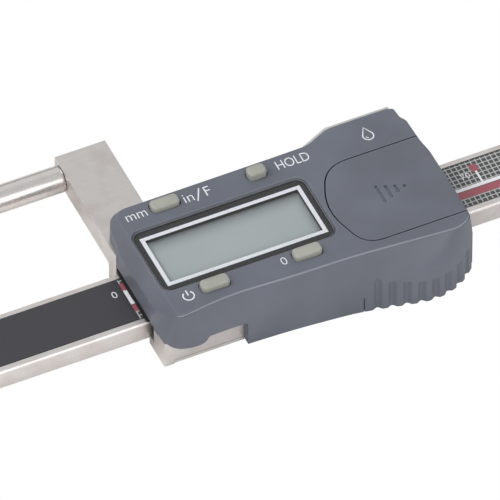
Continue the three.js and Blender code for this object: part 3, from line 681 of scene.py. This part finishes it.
def housing_blank():
    """The housing as a full block: walls that lean in towards the crease, then the top face."""
    bottom, crease, top = housing_loops()
    inner = grown(top, -FLAT_INSET)
    columns = []
    for low, edge, rim, flat in zip(bottom, crease, top, inner):
        wall = []
        for level in range(WALL_LEVELS + 1):
            share = level / WALL_LEVELS
            lean = max(0.0, (share - WALL_UPRIGHT_SHARE) / (1 - WALL_UPRIGHT_SHARE)) ** WALL_LEAN_POWER
            wall.append(Vector((low.x + (edge.x - low.x) * lean, low.y + (edge.y - low.y) * lean,
                                low.z + (edge.z - low.z) * share)))
        column = wall[:-2]
        column += fillet(wall[-2], edge, rim, CREASE_ROUNDING)
        column += fillet(edge, rim, flat, TOP_ROUNDING)
        column.append(flat)
        columns.append(column)
    return loft([list(ring) for ring in zip(*columns)])


def flute_section(depth):
    """A hollow with a cosine's profile, closed outside the wall."""
    points = []
    for k in range(FLUTE_STEPS + 1):
        x = FLUTE_HALF_WIDTH * (1 - 2 * k / FLUTE_STEPS)
        points.append(Vector((x, -depth * (0.5 + 0.5 * math.cos(math.pi * x / FLUTE_HALF_WIDTH)), 0)))
    return points + [xy(x, FLUTE_REACH) for x in (-FLUTE_HALF_WIDTH, FLUTE_HALF_WIDTH)]


def flute_tool(spot, along, top_z):
    """One upright groove at spot, with an end that runs out up to top_z."""
    outward = xy(along.y, -along.x)
    levels = [(BOTTOM_Z - 1, FLUTE_DEPTH)]
    for degrees in range(0, 81, 16):
        angle = math.radians(degrees)
        levels.append((top_z + FLUTE_RUN_OUT * (math.sin(angle) - 1), FLUTE_DEPTH * math.cos(angle)))
    return loft([[Vector((spot.x, spot.y, z)) + along * p.x + outward * p.y for p in flute_section(depth)]
                 for z, depth in levels])


def flute_tools():
    """The grooves for the fingers, evenly spaced round the front right corner."""
    bottom = housing_loops()[0]
    front = [i for i, point in enumerate(bottom) if point.y < FRONT_WALL_Y]
    i = min(front, key=lambda index: abs(bottom[index].x - FLUTE_FIRST_X))
    tools = []
    travelled = 0.0
    while len(tools) < FLUTE_COUNT:
        step = bottom[i + 1] - bottom[i]
        while len(tools) < FLUTE_COUNT and len(tools) * FLUTE_PITCH <= travelled + step.length:
            share = (len(tools) * FLUTE_PITCH - travelled) / step.length
            from_middle = 2 * len(tools) / (FLUTE_COUNT - 1) - 1
            top_z = FLUTE_TOP_LOW_Z + FLUTE_TOP_RISE * from_middle ** 2
            tools.append(flute_tool(bottom[i] + step * share, step.normalized(), top_z))
        travelled += step.length
        i += 1
    return tools


CREST_RADIUS = 0.17
CREST_SINK = 0.03
CROWN_FROM_Y = -7.0
CROWN_SLOPE = 0.02
TOP_FACE_DEPTH = 0.6


def tilt_front(verts):
    """Lowers what stands in front of CROWN_FROM_Y, where the top face tilts down."""
    for vert in verts:
        vert.co.z -= max(0.0, CROWN_FROM_Y - vert.co.y) * CROWN_SLOPE


def crowned(bm):
    """Tilts the front strip of the top face on a piece of the shell."""
    everything = list(bm.verts) + list(bm.edges) + list(bm.faces)
    bmesh.ops.bisect_plane(bm, geom=everything, plane_co=(0, CROWN_FROM_Y, 0), plane_no=(0, 1, 0))
    tilt_front([vert for vert in bm.verts if vert.co.z > TOP_Z - TOP_FACE_DEPTH])
    return bm


WINDOW = local_box("display_window")
WINDOW_RADIUS = 2.0
COVER_GAP = 0.15
COVER_BOTTOM = 7.0
BUTTON_EARS = 0.7
BUTTON_RADIUS = 0.85
BUTTONS = ("mm_in_button", "hold_button", "power_button", "zero_button")


def window_loop(inset, radius=WINDOW_RADIUS):
    return rectangle_in(*WINDOW, inset, radius)


def cover_loop(grow):
    """The battery cover's outline, open to the right of the housing."""
    right = local_box("battery_cover")[1].x + 4
    back, front = 7.55, -12.7
    knots = [(xy(right, front), 0.1), (xy(right, back), 0.1), (xy(42.2, back), 4.3), (xy(37.8, -2.2), 5.0),
             (xy(41.0, front), 3.7)]
    return grown(rounded_loop(knots, 24, [2, 2, 1, 1, 2]), grow)


def button_loop(node, grow):
    """The outline of a button's cap, between the ears of its flange."""
    low, high = local_box(node)
    x0, x1 = low.x + BUTTON_EARS - grow, high.x - BUTTON_EARS + grow
    return rounded_rectangle(x0, x1, low.y - grow, high.y + grow, BUTTON_RADIUS + grow)


def flared_pocket(points, bottom_z, flare):
    """A cutter whose mouth at the top face opens by flare."""
    return loft([
        at_height(points, bottom_z),
        at_height(points, TOP_Z - flare),
        at_height(grown(points, flare * 0.5), TOP_Z - flare * 0.25),
        at_height(grown(points, flare * 1.6), TOP_Z + flare),
    ])


def notch_tool():
    """Opens the lower front left corner so that the steel frame shows."""
    straight = ((-2, -7), (16.8, -7), (16.8, 0.4), (16.4, 0.6), (9.4, 0.6))
    curved = ((9.0, 0.3), (8.3, -1.6), (5.0, -0.9), (1.2, 1.1))
    outline = [xy(x, z) for x, z in straight]
    outline += bezier(*[xy(x, z) for x, z in curved], 20)
    outline.append(xy(-2, 1.1))
    bm = prism(outline, 13.2, 20.0)
    bm.transform(UPRIGHT)
    return bm


def build_housing():
    """The shell, hollowed out over the steel frame and round the electronics."""
    frame_low = local_box("slider_frame")[0]
    port_low = local_box("data_port_cover")[0]
    cell_low, cell_high = local_box("coin_cell")
    below, above, outside = -6, 10, 64
    rail_top, bridge_top, arm_top = 0.7, 2.0, 3.2
    lip_z = 0.25
    groove_z = 6.95
    front, back = frame_low.y - 0.1, 11.1
    right = local_box("back_plate")[1].x + 0.7
    arm_right = frame_low.x + 10.2
    bay = rounded_rectangle(3.9, 38.7, -12.6, 12.9, 2.3)
    cell_well = arc((cell_low + cell_high) / 2, 10.15, 0, 360 * 95 / 96, 95)
    tools = [
        notch_tool(),
        # Room for the beam, the frame's rails and bridge, the wiper's slot, the arm and the electronics.
        box_bm(-1, right, -8.6, back, below, rail_top),
        box_bm(frame_low.x - 0.03, right, front, -8.5, below, rail_top),
        box_bm(-1, 3, -10.5, -8.5, below, lip_z),
        box_bm(-1, 3, front, -10.4, below, rail_top),
        box_bm(2.3, right, front, back, below, bridge_top),
        box_bm(-1, arm_right, 7.73, 20, below, arm_top),
        prism(bay, below, 6.4),
        box_bm(0, 45.4, 11.0, 20, below, 2.2),
        # The beam's way out on the right, with the rear wiper.
        box_bm(right - 1, outside, -7, 7.75, below, 0.4),
        box_bm(right - 1, right + 1.1, -7, 7.75, below, 2.0),
        # The window and the battery compartment, with grooves for the cover's tongues.
        flared_pocket(window_loop(-0.08), groove_z, 0.26),
        prism(window_loop(1.0, 1.0), 6, above),
        prism(cell_well, 3.6, 9),
        prism(cover_loop(COVER_GAP), groove_z, above),
        box_bm(46, outside, -13.4, 8.3, groove_z, 7.65),
        # The data port's cover and its connector, and the fine seam in the front wall.
        box_bm(port_low.x - 0.2, outside, 14.8, 15.6, 0.4, 7.7),
        box_bm(port_low.x - 0.2, outside, 15.5, 18, 1.1, 7.0),
        box_bm(49, 56, 12.4, 15, 2.4, 5.6),
        box_bm(38.9, 39.08, -22, -13.3, below, -1.4),
    ]
    tools += [flared_pocket(button_loop(node, 0.16), 5, 0.12) for node in BUTTONS]
    tools += flute_tools()
    shell = crowned(combine(housing_blank(), tools, "DIFFERENCE"))
    place("housing_shell", shell, "slider", "housing_plastic", ["housing"])


def build_crest():
    """A fine pale bead along the front edge of the top face, in a lighter copy of the housing's plastic: a
    painted highlight on the crease.
    """
    _, crease, top = housing_loops()
    path = [edge.lerp(rim, 0.5) for edge, rim in zip(crease, top) if rim.y < -13.25 and rim.x > 3.2]
    sides = 10
    rings = []
    for i, point in enumerate(path):
        along = (path[min(i + 1, len(path) - 1)] - path[max(i - 1, 0)]).normalized()
        outward = xy(along.y, -along.x).normalized()
        taper = math.sin(math.pi * (i + 0.6) / (len(path) + 0.2)) ** 0.25
        ring = []
        for k in range(sides):
            angle = 2 * math.pi * k / sides
            around = outward * math.cos(angle) + Vector((0, 0, math.sin(angle)))
            ring.append(point + around * CREST_RADIUS * taper - Vector((0, 0, CREST_SINK)))
        rings.append(ring)
    bm = loft(rings)
    tilt_front(bm.verts)
    # The bead's pale plastic is a painted highlight along the crease.
    place("housing_crest", bm, "slider", "crest_highlight_plastic")


BAR_COUNT = 4
BAR_FIRST_X = 48.5
BAR_PITCH = 1.6
BAR_MIDDLE_Y = -2.7
BAR_HALF_WIDTH = 0.34
BAR_DEPTH = 0.32


def build_battery_cover():
    """The sliding cover with its tongues and with pressed bars, each shorter than the last."""
    panel = combine(housing_blank(), [prism(cover_loop(-COVER_GAP), COVER_BOTTOM, 10)], "INTERSECT")
    bars = []
    for i in range(BAR_COUNT):
        x = BAR_FIRST_X + i * BAR_PITCH
        half = 2.3 - i * 0.62
        bar = rounded_rectangle(x - BAR_HALF_WIDTH, x + BAR_HALF_WIDTH,
                                BAR_MIDDLE_Y - half, BAR_MIDDLE_Y + half, 0.3, 6)
        bars.append(prism(bar, TOP_Z - BAR_DEPTH, 10))
    tongues = box_bm(46.5, 61.0, -13.3, 8.2, 7.02, 7.5)
    cover = crowned(combine(combine(panel, [tongues], "UNION"), bars, "DIFFERENCE"))
    place("battery_cover_panel", cover, "battery_cover", "housing_plastic",
          ["battery_cover"])


def build_button(node):
    """A pillow shaped cap over an eared flange and a stem."""
    low, high = local_box(node)
    loop = button_loop(node, 0)
    centre = xy((low.x + high.x) / 2, (low.y + high.y) / 2)
    edge = 0.55
    rings = [at_height(grown(loop, 0.04), 6.2), at_height(loop, high.z - edge - 0.12)]
    steps = 9
    for k in range(1, steps + 1):
        angle = math.pi / 2 * k / steps
        shrink = edge * (1 - math.cos(angle)) * 0.9
        height = high.z - edge - 0.12 + edge * math.sin(angle)
        rings.append(at_height(grown(loop, -shrink), height))
    for share, lift in ((0.85, 0.04), (0.6, 0.08), (0.3, 0.11), (0.02, 0.12)):
        inner = [centre.lerp(point, share) for point in grown(loop, -edge * 0.9)]
        rings.append(at_height(inner, high.z - 0.12 + lift))
    flange = prism(rectangle_in(low, high, 0, 0.8, 6), 5.8, 6.35)
    stem = turned_bm([(0, low.z), (0.75, low.z), (0.9, low.z + 0.15), (0.9, 6.0), (0, 6.0)], 32,
                     Matrix.Translation(centre))
    cap = combine(loft(rings), [flange, stem], "UNION")
    place(f"{node}_cap", cap, node, "button_plastic", [node])


def build_port_cover():
    """The data port's sliding cover: a plate inside the wall and a grooved grip outside it."""
    low, high = local_box("data_port_cover")
    inner = box_bm(low.x, high.x, 14.9, 15.5, low.z, high.z)
    outer = prism(rounded_rectangle(low.x, high.x - 0.6, 1.2, 6.9, 0.3, 4), -15.4, -16.1)
    outer.transform(UPRIGHT)
    grooves = [box_bm(x - 0.35, x + 0.35, 15.8, 17, 2, 6.1) for x in (50.5, 52.1, 53.7, 55.3)]
    cover = combine(combine(inner, [outer], "UNION"), grooves, "DIFFERENCE")
    place("data_port_slide_cover", cover, "data_port_cover", "housing_plastic",
          ["data_port_cover"], rounding=0.12)


# ---------- display

LENS_TOP = 8.06
LENS_BOTTOM = 7.86
RIM_WIDTH = 0.12
RIM_HEIGHT = 0.34
PANEL_TOP = 7.02
WHITE_LINE_OUTER = (4.76, 36.44, -6.57, 5.92)
WHITE_LINE_WIDTH = 0.78


def build_display():
    lens = loft([
        at_height(window_loop(RIM_WIDTH + 0.08), LENS_BOTTOM),
        at_height(window_loop(RIM_WIDTH + 0.08), LENS_TOP - 0.08),
        at_height(window_loop(RIM_WIDTH + 0.1), LENS_TOP - 0.02),
        at_height(window_loop(RIM_WIDTH + 0.16), LENS_TOP),
    ])
    place("display_lens", lens, "slider", "display_window", ["display_window"])

    rim = ribbon_bm(window_loop(RIM_WIDTH / 2), RIM_WIDTH, RIM_HEIGHT, LENS_BOTTOM, True)
    place("display_rim", rim, "slider", "rim_dark", rounding=0.04)

    x0, x1, y0, y1 = WHITE_LINE_OUTER
    width = WHITE_LINE_WIDTH
    opening = rounded_rectangle(x0 + width, x1 - width, y0 + width, y1 - width, 0.12, 4)
    border = combine(prism(window_loop(0.06), PANEL_TOP + 0.02, LENS_BOTTOM - 0.03),
                     [prism(opening, 0, 10)], "DIFFERENCE")
    place("display_border", border, "slider", "window_border")
    line = combine(prism(rounded_rectangle(x0, x1, y0, y1, 0.05, 2), LENS_BOTTOM - 0.03, LENS_BOTTOM - 0.01),
                   [prism(opening, 0, 10)], "DIFFERENCE")
    place("display_white_line", line, "slider", "printed_white")

    low, high = local_box("lcd_panel")
    glass = rectangle_in(low, high, 0, 0.2, 3)
    polariser = rectangle_in(low, high, 0.1, 0.3, 3)
    panel = merge_bm([prism(glass, low.z, 6.3), prism(polariser, 6.31, PANEL_TOP)])
    place("display_panel", panel, "slider", "display_grey", ["lcd_panel"])


def build_bump_rim():
    """A pale strip that edges the back of the bump, partly a paler part's edge and partly a painted
    highlight on that edge.
    """
    points = [xy(41.0, 13.7), xy(46.35, 16.2), xy(59.0, 16.2)]
    bm = ribbon_bm(points, 0.75, 1.0, 7.2, False)
    place("bump_rim", bm, "slider", "pale_rim_and_highlight_plastic", rounding=0.15)


# ---------- labels

def inch_label():
    slash = printed_line([xy(18.05, 9.5), xy(19.4, 12.3)], 0.24)
    return merge_bm([text_bm("in", 2.85, 16.75, 10.9, -0.03, stretch=(1.12, 1.15)), slash,
                     text_bm("F", 2.95, 20.5, 10.95, -0.03, stretch=(1.05, 1.12))])


def power_symbol():
    centre = xy(6.9, -10.7)
    ring = arc(centre, 1.02, 52, -232, 40)
    bar = [centre + xy(0, 0.1), centre + xy(0, 1.35)]
    return merge_bm([printed_line(ring, 0.24), printed_line(bar, 0.24)])


def drop_symbol():
    """A plain water drop, for splash protection."""
    centre = xy(52.6, 11.2)
    drop = arc(centre, 1.0, -208, 28, 30)
    drop.append(centre + xy(0, 2.15))
    glint = arc(centre, 0.5, 190, 260, 8)
    return merge_bm([printed_line(drop, 0.22, True), printed_line(glint, 0.18)])


def build_labels():
    prints = {
        "label_mm": text_bm("mm", 2.85, 6.45, 11.0, -0.03, stretch=(1.0, 1.12)),
        "label_in_F": inch_label(),
        "label_hold": text_bm("HOLD", 2.75, 37.55, 11.2, -0.02, spacing=0.98, stretch=(0.88, 1.12)),
        "label_zero": text_bm("0", 2.6, 25.9, -10.3, -0.035),
        "label_power": power_symbol(),
        "label_drop": drop_symbol(),
    }
    for name, bm in prints.items():
        tilt_front(bm.verts)
        place(name, bm, "slider", "printed_white", smooth=False)


def build_scale_numbers():
    """The numbers stand left of their ticks, on the film."""
    on_film = {"z": PRINT_LIFT, "thickness": 0.01}
    numbers = [text_bm("0", 2.25, -1.95, 1.95, -0.015, **on_film)]
    for value in range(10, 151, 10):
        numbers.append(text_bm(str(value), 1.95, value - 1.35, 1.8, -0.02, anchor="RIGHT", **on_film))
    place("scale_numbers", merge_bm(numbers), "beam_assembly", "printed_white", smooth=False)


# ---------- steel pieces

def round_edges(piece, width):
    """Small rounded edges on a piece, in millimetres."""
    weld = piece.modifiers.new("weld", "WELD")
    weld.merge_threshold = 0.002 * MM
    bevel = piece.modifiers.new("bevel", "BEVEL")
    bevel.width = width * MM
    bevel.segments = 2
    bevel.limit_method = "ANGLE"
    bevel.angle_limit = math.radians(35)
    bevel.use_clamp_overlap = True
    normals = piece.modifiers.new("normals", "WEIGHTED_NORMAL")
    normals.keep_sharp = True


def build_rod(node, body, face_to_left):
    """A ground rod with a lapped measuring face, a shoulder groove at the arm and a spigot."""
    low, high = local_box(node)
    radius = (high.z - low.z) / 2
    length = high.x - low.x
    spigot = 6.0
    profile = [
        (0, 0), (1.3, 0), (1.5, 0.2), (1.5, spigot), (radius - 0.35, spigot), (radius - 0.12, spigot + 0.1),
        (radius - 0.02, spigot + 0.3), (radius, spigot + 0.6), (radius, length - 0.45),
        (radius - 0.04, length - 0.3), (radius - 0.15, length - 0.12), (radius - 0.32, length), (0, length),
    ]
    centre = Vector((0, (low.y + high.y) / 2, (low.z + high.z) / 2))
    turn = Matrix.Rotation(math.radians(-90 if face_to_left else 90), 4, "Y")
    start = high.x if face_to_left else low.x
    place(f"{node}_ground", turned_bm(profile, 96, Matrix.Translation((start, centre.y, centre.z)) @ turn),
          body, "rod_steel", [node])


def screw_profile(head_radius, head_height, thread_radius, thread_length):
    """A pan head with its underside at height 0, and a thread with its crests and roots."""
    profile = [
        (0, -head_height * 0.45), (head_radius * 0.42, -head_height * 0.45),
        (head_radius * 0.45, -head_height * 0.98), (head_radius * 0.8, -head_height),
        (head_radius * 0.96, -head_height * 0.75), (head_radius, -head_height * 0.35),
        (head_radius, 0), (thread_radius, 0),
    ]
    pitch = 0.35
    turns = int((thread_length - 0.3) / pitch)
    for k in range(turns):
        profile.append((thread_radius - 0.02, 0.1 + k * pitch))
        profile.append((thread_radius - 0.17, 0.1 + (k + 0.5) * pitch))
    profile += [(thread_radius - 0.25, thread_length), (0, thread_length)]
    return profile


def build_screw(node, body, axis_name):
    """Any pan head screw, sized from its CAD node. Its head faces -Z, or +X on the end plate."""
    low, high = local_box(node)
    centre = (low + high) / 2
    if axis_name == "X":
        head_radius = (high.z - low.z) / 2
        head_height, thread_radius = 0.7, 0.7
        length = high.x - low.x - head_height
        turn = Matrix.Rotation(math.radians(-90), 4, "Y")
        matrix = Matrix.Translation((high.x - head_height, centre.y, centre.z)) @ turn
    else:
        head_radius = (high.x - low.x) / 2
        head_height = 0.5 if head_radius > 1.5 else 0.42
        thread_radius = 0.95 if head_radius > 1.5 else 0.8
        length = high.z - low.z - head_height
        matrix = Matrix.Translation((centre.x, centre.y, low.z + head_height))
    bm = turned_bm(screw_profile(head_radius, head_height, thread_radius, length), 40)
    reach, half = head_radius * 0.6, head_radius * 0.11
    top, floor = -head_height - 1, -head_height * 0.4
    cross = [box_bm(-reach, reach, -half, half, top, floor), box_bm(-half, half, -reach, reach, top, floor)]
    bm = combine(bm, cross, "DIFFERENCE")
    bm.transform(matrix)
    place(f"{node}_turned", bm, body, "dark_screws", [node])


KNURL_ROWS = 22
KNURL_PITCH = 0.62
KNURL_RIDGES = 12
KNURL_DEPTH_SHARE = 0.055


def build_lock_screw():
    """A thumb screw along Y with a diamond knurled head."""
    low, high = local_box("lock_screw")
    head_radius = (high.x - low.x) / 2 - 0.02
    head_start, head_end = high.y - 5.0, high.y
    knurl_start, knurl_length = head_start + 0.6, head_end - head_start - 1.2
    profile = [(0, low.y), (1.15, low.y), (1.42, low.y + 0.25), (1.42, head_start), (2.2, head_start),
               (head_radius - 0.35, head_start + 0.2)]
    for k in range(KNURL_ROWS + 1):
        profile.append((head_radius, knurl_start + knurl_length * k / KNURL_ROWS))
    profile += [(head_radius - 0.35, head_end - 0.12), (head_radius - 0.6, head_end), (1.6, head_end),
                (1.4, head_end - 0.25), (0, head_end - 0.3)]
    bm = turned_bm(profile, 96)
    for vert in bm.verts:
        height = vert.co.z - knurl_start
        if -0.01 <= height <= knurl_length + 0.01 and math.hypot(vert.co.x, vert.co.y) > head_radius - 0.05:
            angle = math.atan2(vert.co.y, vert.co.x) * KNURL_RIDGES
            along = height / KNURL_PITCH * math.pi
            cut = abs(math.sin(angle + along)) * abs(math.sin(angle - along))
            shrink = 1 - KNURL_DEPTH_SHARE * (1 - math.sqrt(cut))
            vert.co.x *= shrink
            vert.co.y *= shrink
    turn = Matrix.Rotation(math.radians(-90), 4, "X")
    bm.transform(Matrix.Translation(((low.x + high.x) / 2, 0, (low.z + high.z) / 2)) @ turn)
    place("lock_screw_knurled", bm, "lock_screw", "ground_steel", ["lock_screw"])


def build_wiper():
    """The black lip that sweeps the film at the slider's left end, and a black block in the relief slot that
    paints the slot's deep shade.
    """
    low, high = local_box("front_wiper")
    section = [(low.x - 0.1, 0.08), (low.x - 0.45, 0.07), (low.x - 0.5, 0.2), (low.x - 0.32, 0.52),
               (low.x + 0.1, 0.66), (high.x, 0.62), (high.x, 0.3), (low.x + 0.3, 0.12)]
    rings = []
    steps = 24
    for k in range(steps + 1):
        y = low.y + (high.y - 0.35 - low.y) * k / steps
        taper = 0.35 * max(0.0, 1 - (steps - k) / 5) ** 2
        rings.append([Vector((max(x, low.x - 0.5 + taper), y, z)) for x, z in section])
    place("front_wiper_lip", loft(rings), "slider", "black_rubber", ["front_wiper"])
    # Painted shade: a black block that darkens the inside of the relief slot.
    slot_shade_block = box_bm(low.x + 0.45, high.x, -8.5, -6.72, -3.4, 0.0)
    place("relief_slot_shade_block", slot_shade_block, "slider", "black_rubber", rounding=0.15)


def build_plate_seam():
    """The dark line of sealing compound between the frame and the back plate."""
    low, high = local_box("back_plate")
    front = local_box("slider_frame")[0].y
    seam = box_bm(low.x, high.x, front + 0.02, front + 0.3, high.z - 0.06, high.z + 0.1)
    place("back_plate_seam", seam, "slider", "black_rubber", rounding=0.03)


def finish_cad_nodes():
    """CAD nodes that stay as they are get small round edges and their own materials."""
    slots = {row["node"]: row["material_slot"] for row in frame["record"]["subparts"]}
    finish = {"slider_frame": "arm_steel", "fixed_jaw": "arm_steel"}
    edges = {"slider_frame": 0.16, "fixed_jaw": 0.2, "beam": 0.12, "back_plate": 0.12, "end_stop_plate": 0.2}
    for name, node in NODES.items():
        node.data.materials.clear()
        node.data.materials.append(MATERIALS[finish.get(name, slots[name])])
        if not node.hide_render:
            round_edges(node, edges.get(name, 0.06))


# ---------- stage

CAMERA_AZIMUTH = math.radians(-24.79)
CAMERA_ELEVATION = math.radians(47.51)
CAMERA_DISTANCE = 2.457
CAMERA_FIELD = 0.09009
PICTURE_SHIFT = (10.06, 1.97)


def build_camera():
    """A long lens far away, because the picture is almost a parallel projection."""
    a, e = CAMERA_AZIMUTH, CAMERA_ELEVATION
    back = Vector((math.sin(a) * math.cos(e), -math.cos(a) * math.cos(e), math.sin(e)))
    right = xy(math.cos(a), math.sin(a))
    up = back.cross(right)
    data = bpy.data.cameras.new("photo_view")
    data.sensor_width = 36.0
    data.lens = data.sensor_width * CAMERA_DISTANCE / CAMERA_FIELD
    data.clip_start, data.clip_end = 0.1, 20.0
    camera = add_object("photo_view", data)
    target = TO_ROW @ (xy(35, 0) - right * PICTURE_SHIFT[0] - up * PICTURE_SHIFT[1])
    camera.location = target + back * CAMERA_DISTANCE
    camera.rotation_mode = "QUATERNION"
    camera.rotation_quaternion = (-back).to_track_quat("-Z", "Y")
    bpy.context.scene.camera = camera


def area_light(name, size, energy, location, target):
    """A round soft light that faces target."""
    data = bpy.data.lights.new(name, "AREA")
    data.shape = "DISK"
    data.size = size
    data.energy = energy
    light = add_object(name, data)
    light.location = location
    light.rotation_mode = "QUATERNION"
    light.rotation_quaternion = (target - location).to_track_quat("-Z", "Y")


def floor_material():
    """Plain white to the camera, and a softer matt white to the light that bounces off it."""
    shader = Shader("floor_white")
    glow = shader.node("Emission", Color=rgb(1, 1, 1))
    mottle = shader.mix(shader.noise(3.0, 2.0), rgb(0.90, 0.88, 0.87), rgb(0.96, 0.94, 0.93))
    shader.set(Base_Color=mottle, Roughness=0.9)
    return shader.blend(shader.node("LightPath").outputs["Is Camera Ray"], shader.surface, glow)


def studio_world():
    """White light from all round, weaker just over the horizon."""
    world = bpy.data.worlds.new("studio")
    world.use_nodes = True
    tree = world.node_tree
    direction = new_node(tree, "TexCoord").outputs["Generated"]
    height = new_node(tree, "SeparateXYZ", Vector=direction).outputs["Z"]
    strength = new_node(tree, "MapRange", Value=height,
                        From_Min=0.08, From_Max=0.32, To_Min=0.2, To_Max=0.65)
    strength.interpolation_type = "SMOOTHSTEP"
    background = tree.nodes["Background"]
    feed(strength.outputs[0], background.inputs["Strength"])
    feed(rgb(1, 1, 1), background.inputs["Color"])
    return world


def build_stage():
    floor_z = CAD_BOX[0].z - 0.0002
    bm = bmesh.new()
    bmesh.ops.create_grid(bm, x_segments=1, y_segments=1, size=3.0)
    bm.transform(Matrix.Translation((0.1, 0, floor_z)))
    mesh = bpy.data.meshes.new("floor")
    bm.to_mesh(mesh)
    bm.free()
    floor = add_object("floor", mesh)
    mesh.materials.append(floor_material())

    bpy.context.scene.world = studio_world()
    centre = (CAD_BOX[0] + CAD_BOX[1]) / 2
    area_light("key", 0.4, 2.6, centre + Vector((-0.6, 0.3, 0.6)), centre)
    area_light("front", 1.3, 8.0, centre + Vector((-0.2, -1.15, 0.75)), centre)
    area_light("back", 0.9, 0.25, centre + Vector((0.3, 0.75, 0.85)), centre)
    view = bpy.context.scene.view_settings
    view.view_transform = "Standard"
    view.look = "None"


# ---------- build

build_housing()
build_crest()
build_battery_cover()
for button in BUTTONS:
    build_button(button)
build_port_cover()
build_display()
build_bump_rim()
build_labels()
build_scale_numbers()
build_rod("moving_measuring_rod", "slider", True)
build_rod("fixed_measuring_rod", "beam_assembly", False)
for number in range(1, 5):
    build_screw(f"back_plate_screw_{number}", "slider", "Z")
    build_screw(f"case_screw_{number}", "slider", "Z")
for number in range(1, 3):
    build_screw(f"fixed_jaw_screw_{number}", "beam_assembly", "Z")
    build_screw(f"end_stop_screw_{number}", "beam_assembly", "X")
build_lock_screw()
build_wiper()
build_plate_seam()
finish_cad_nodes()
build_camera()
build_stage()
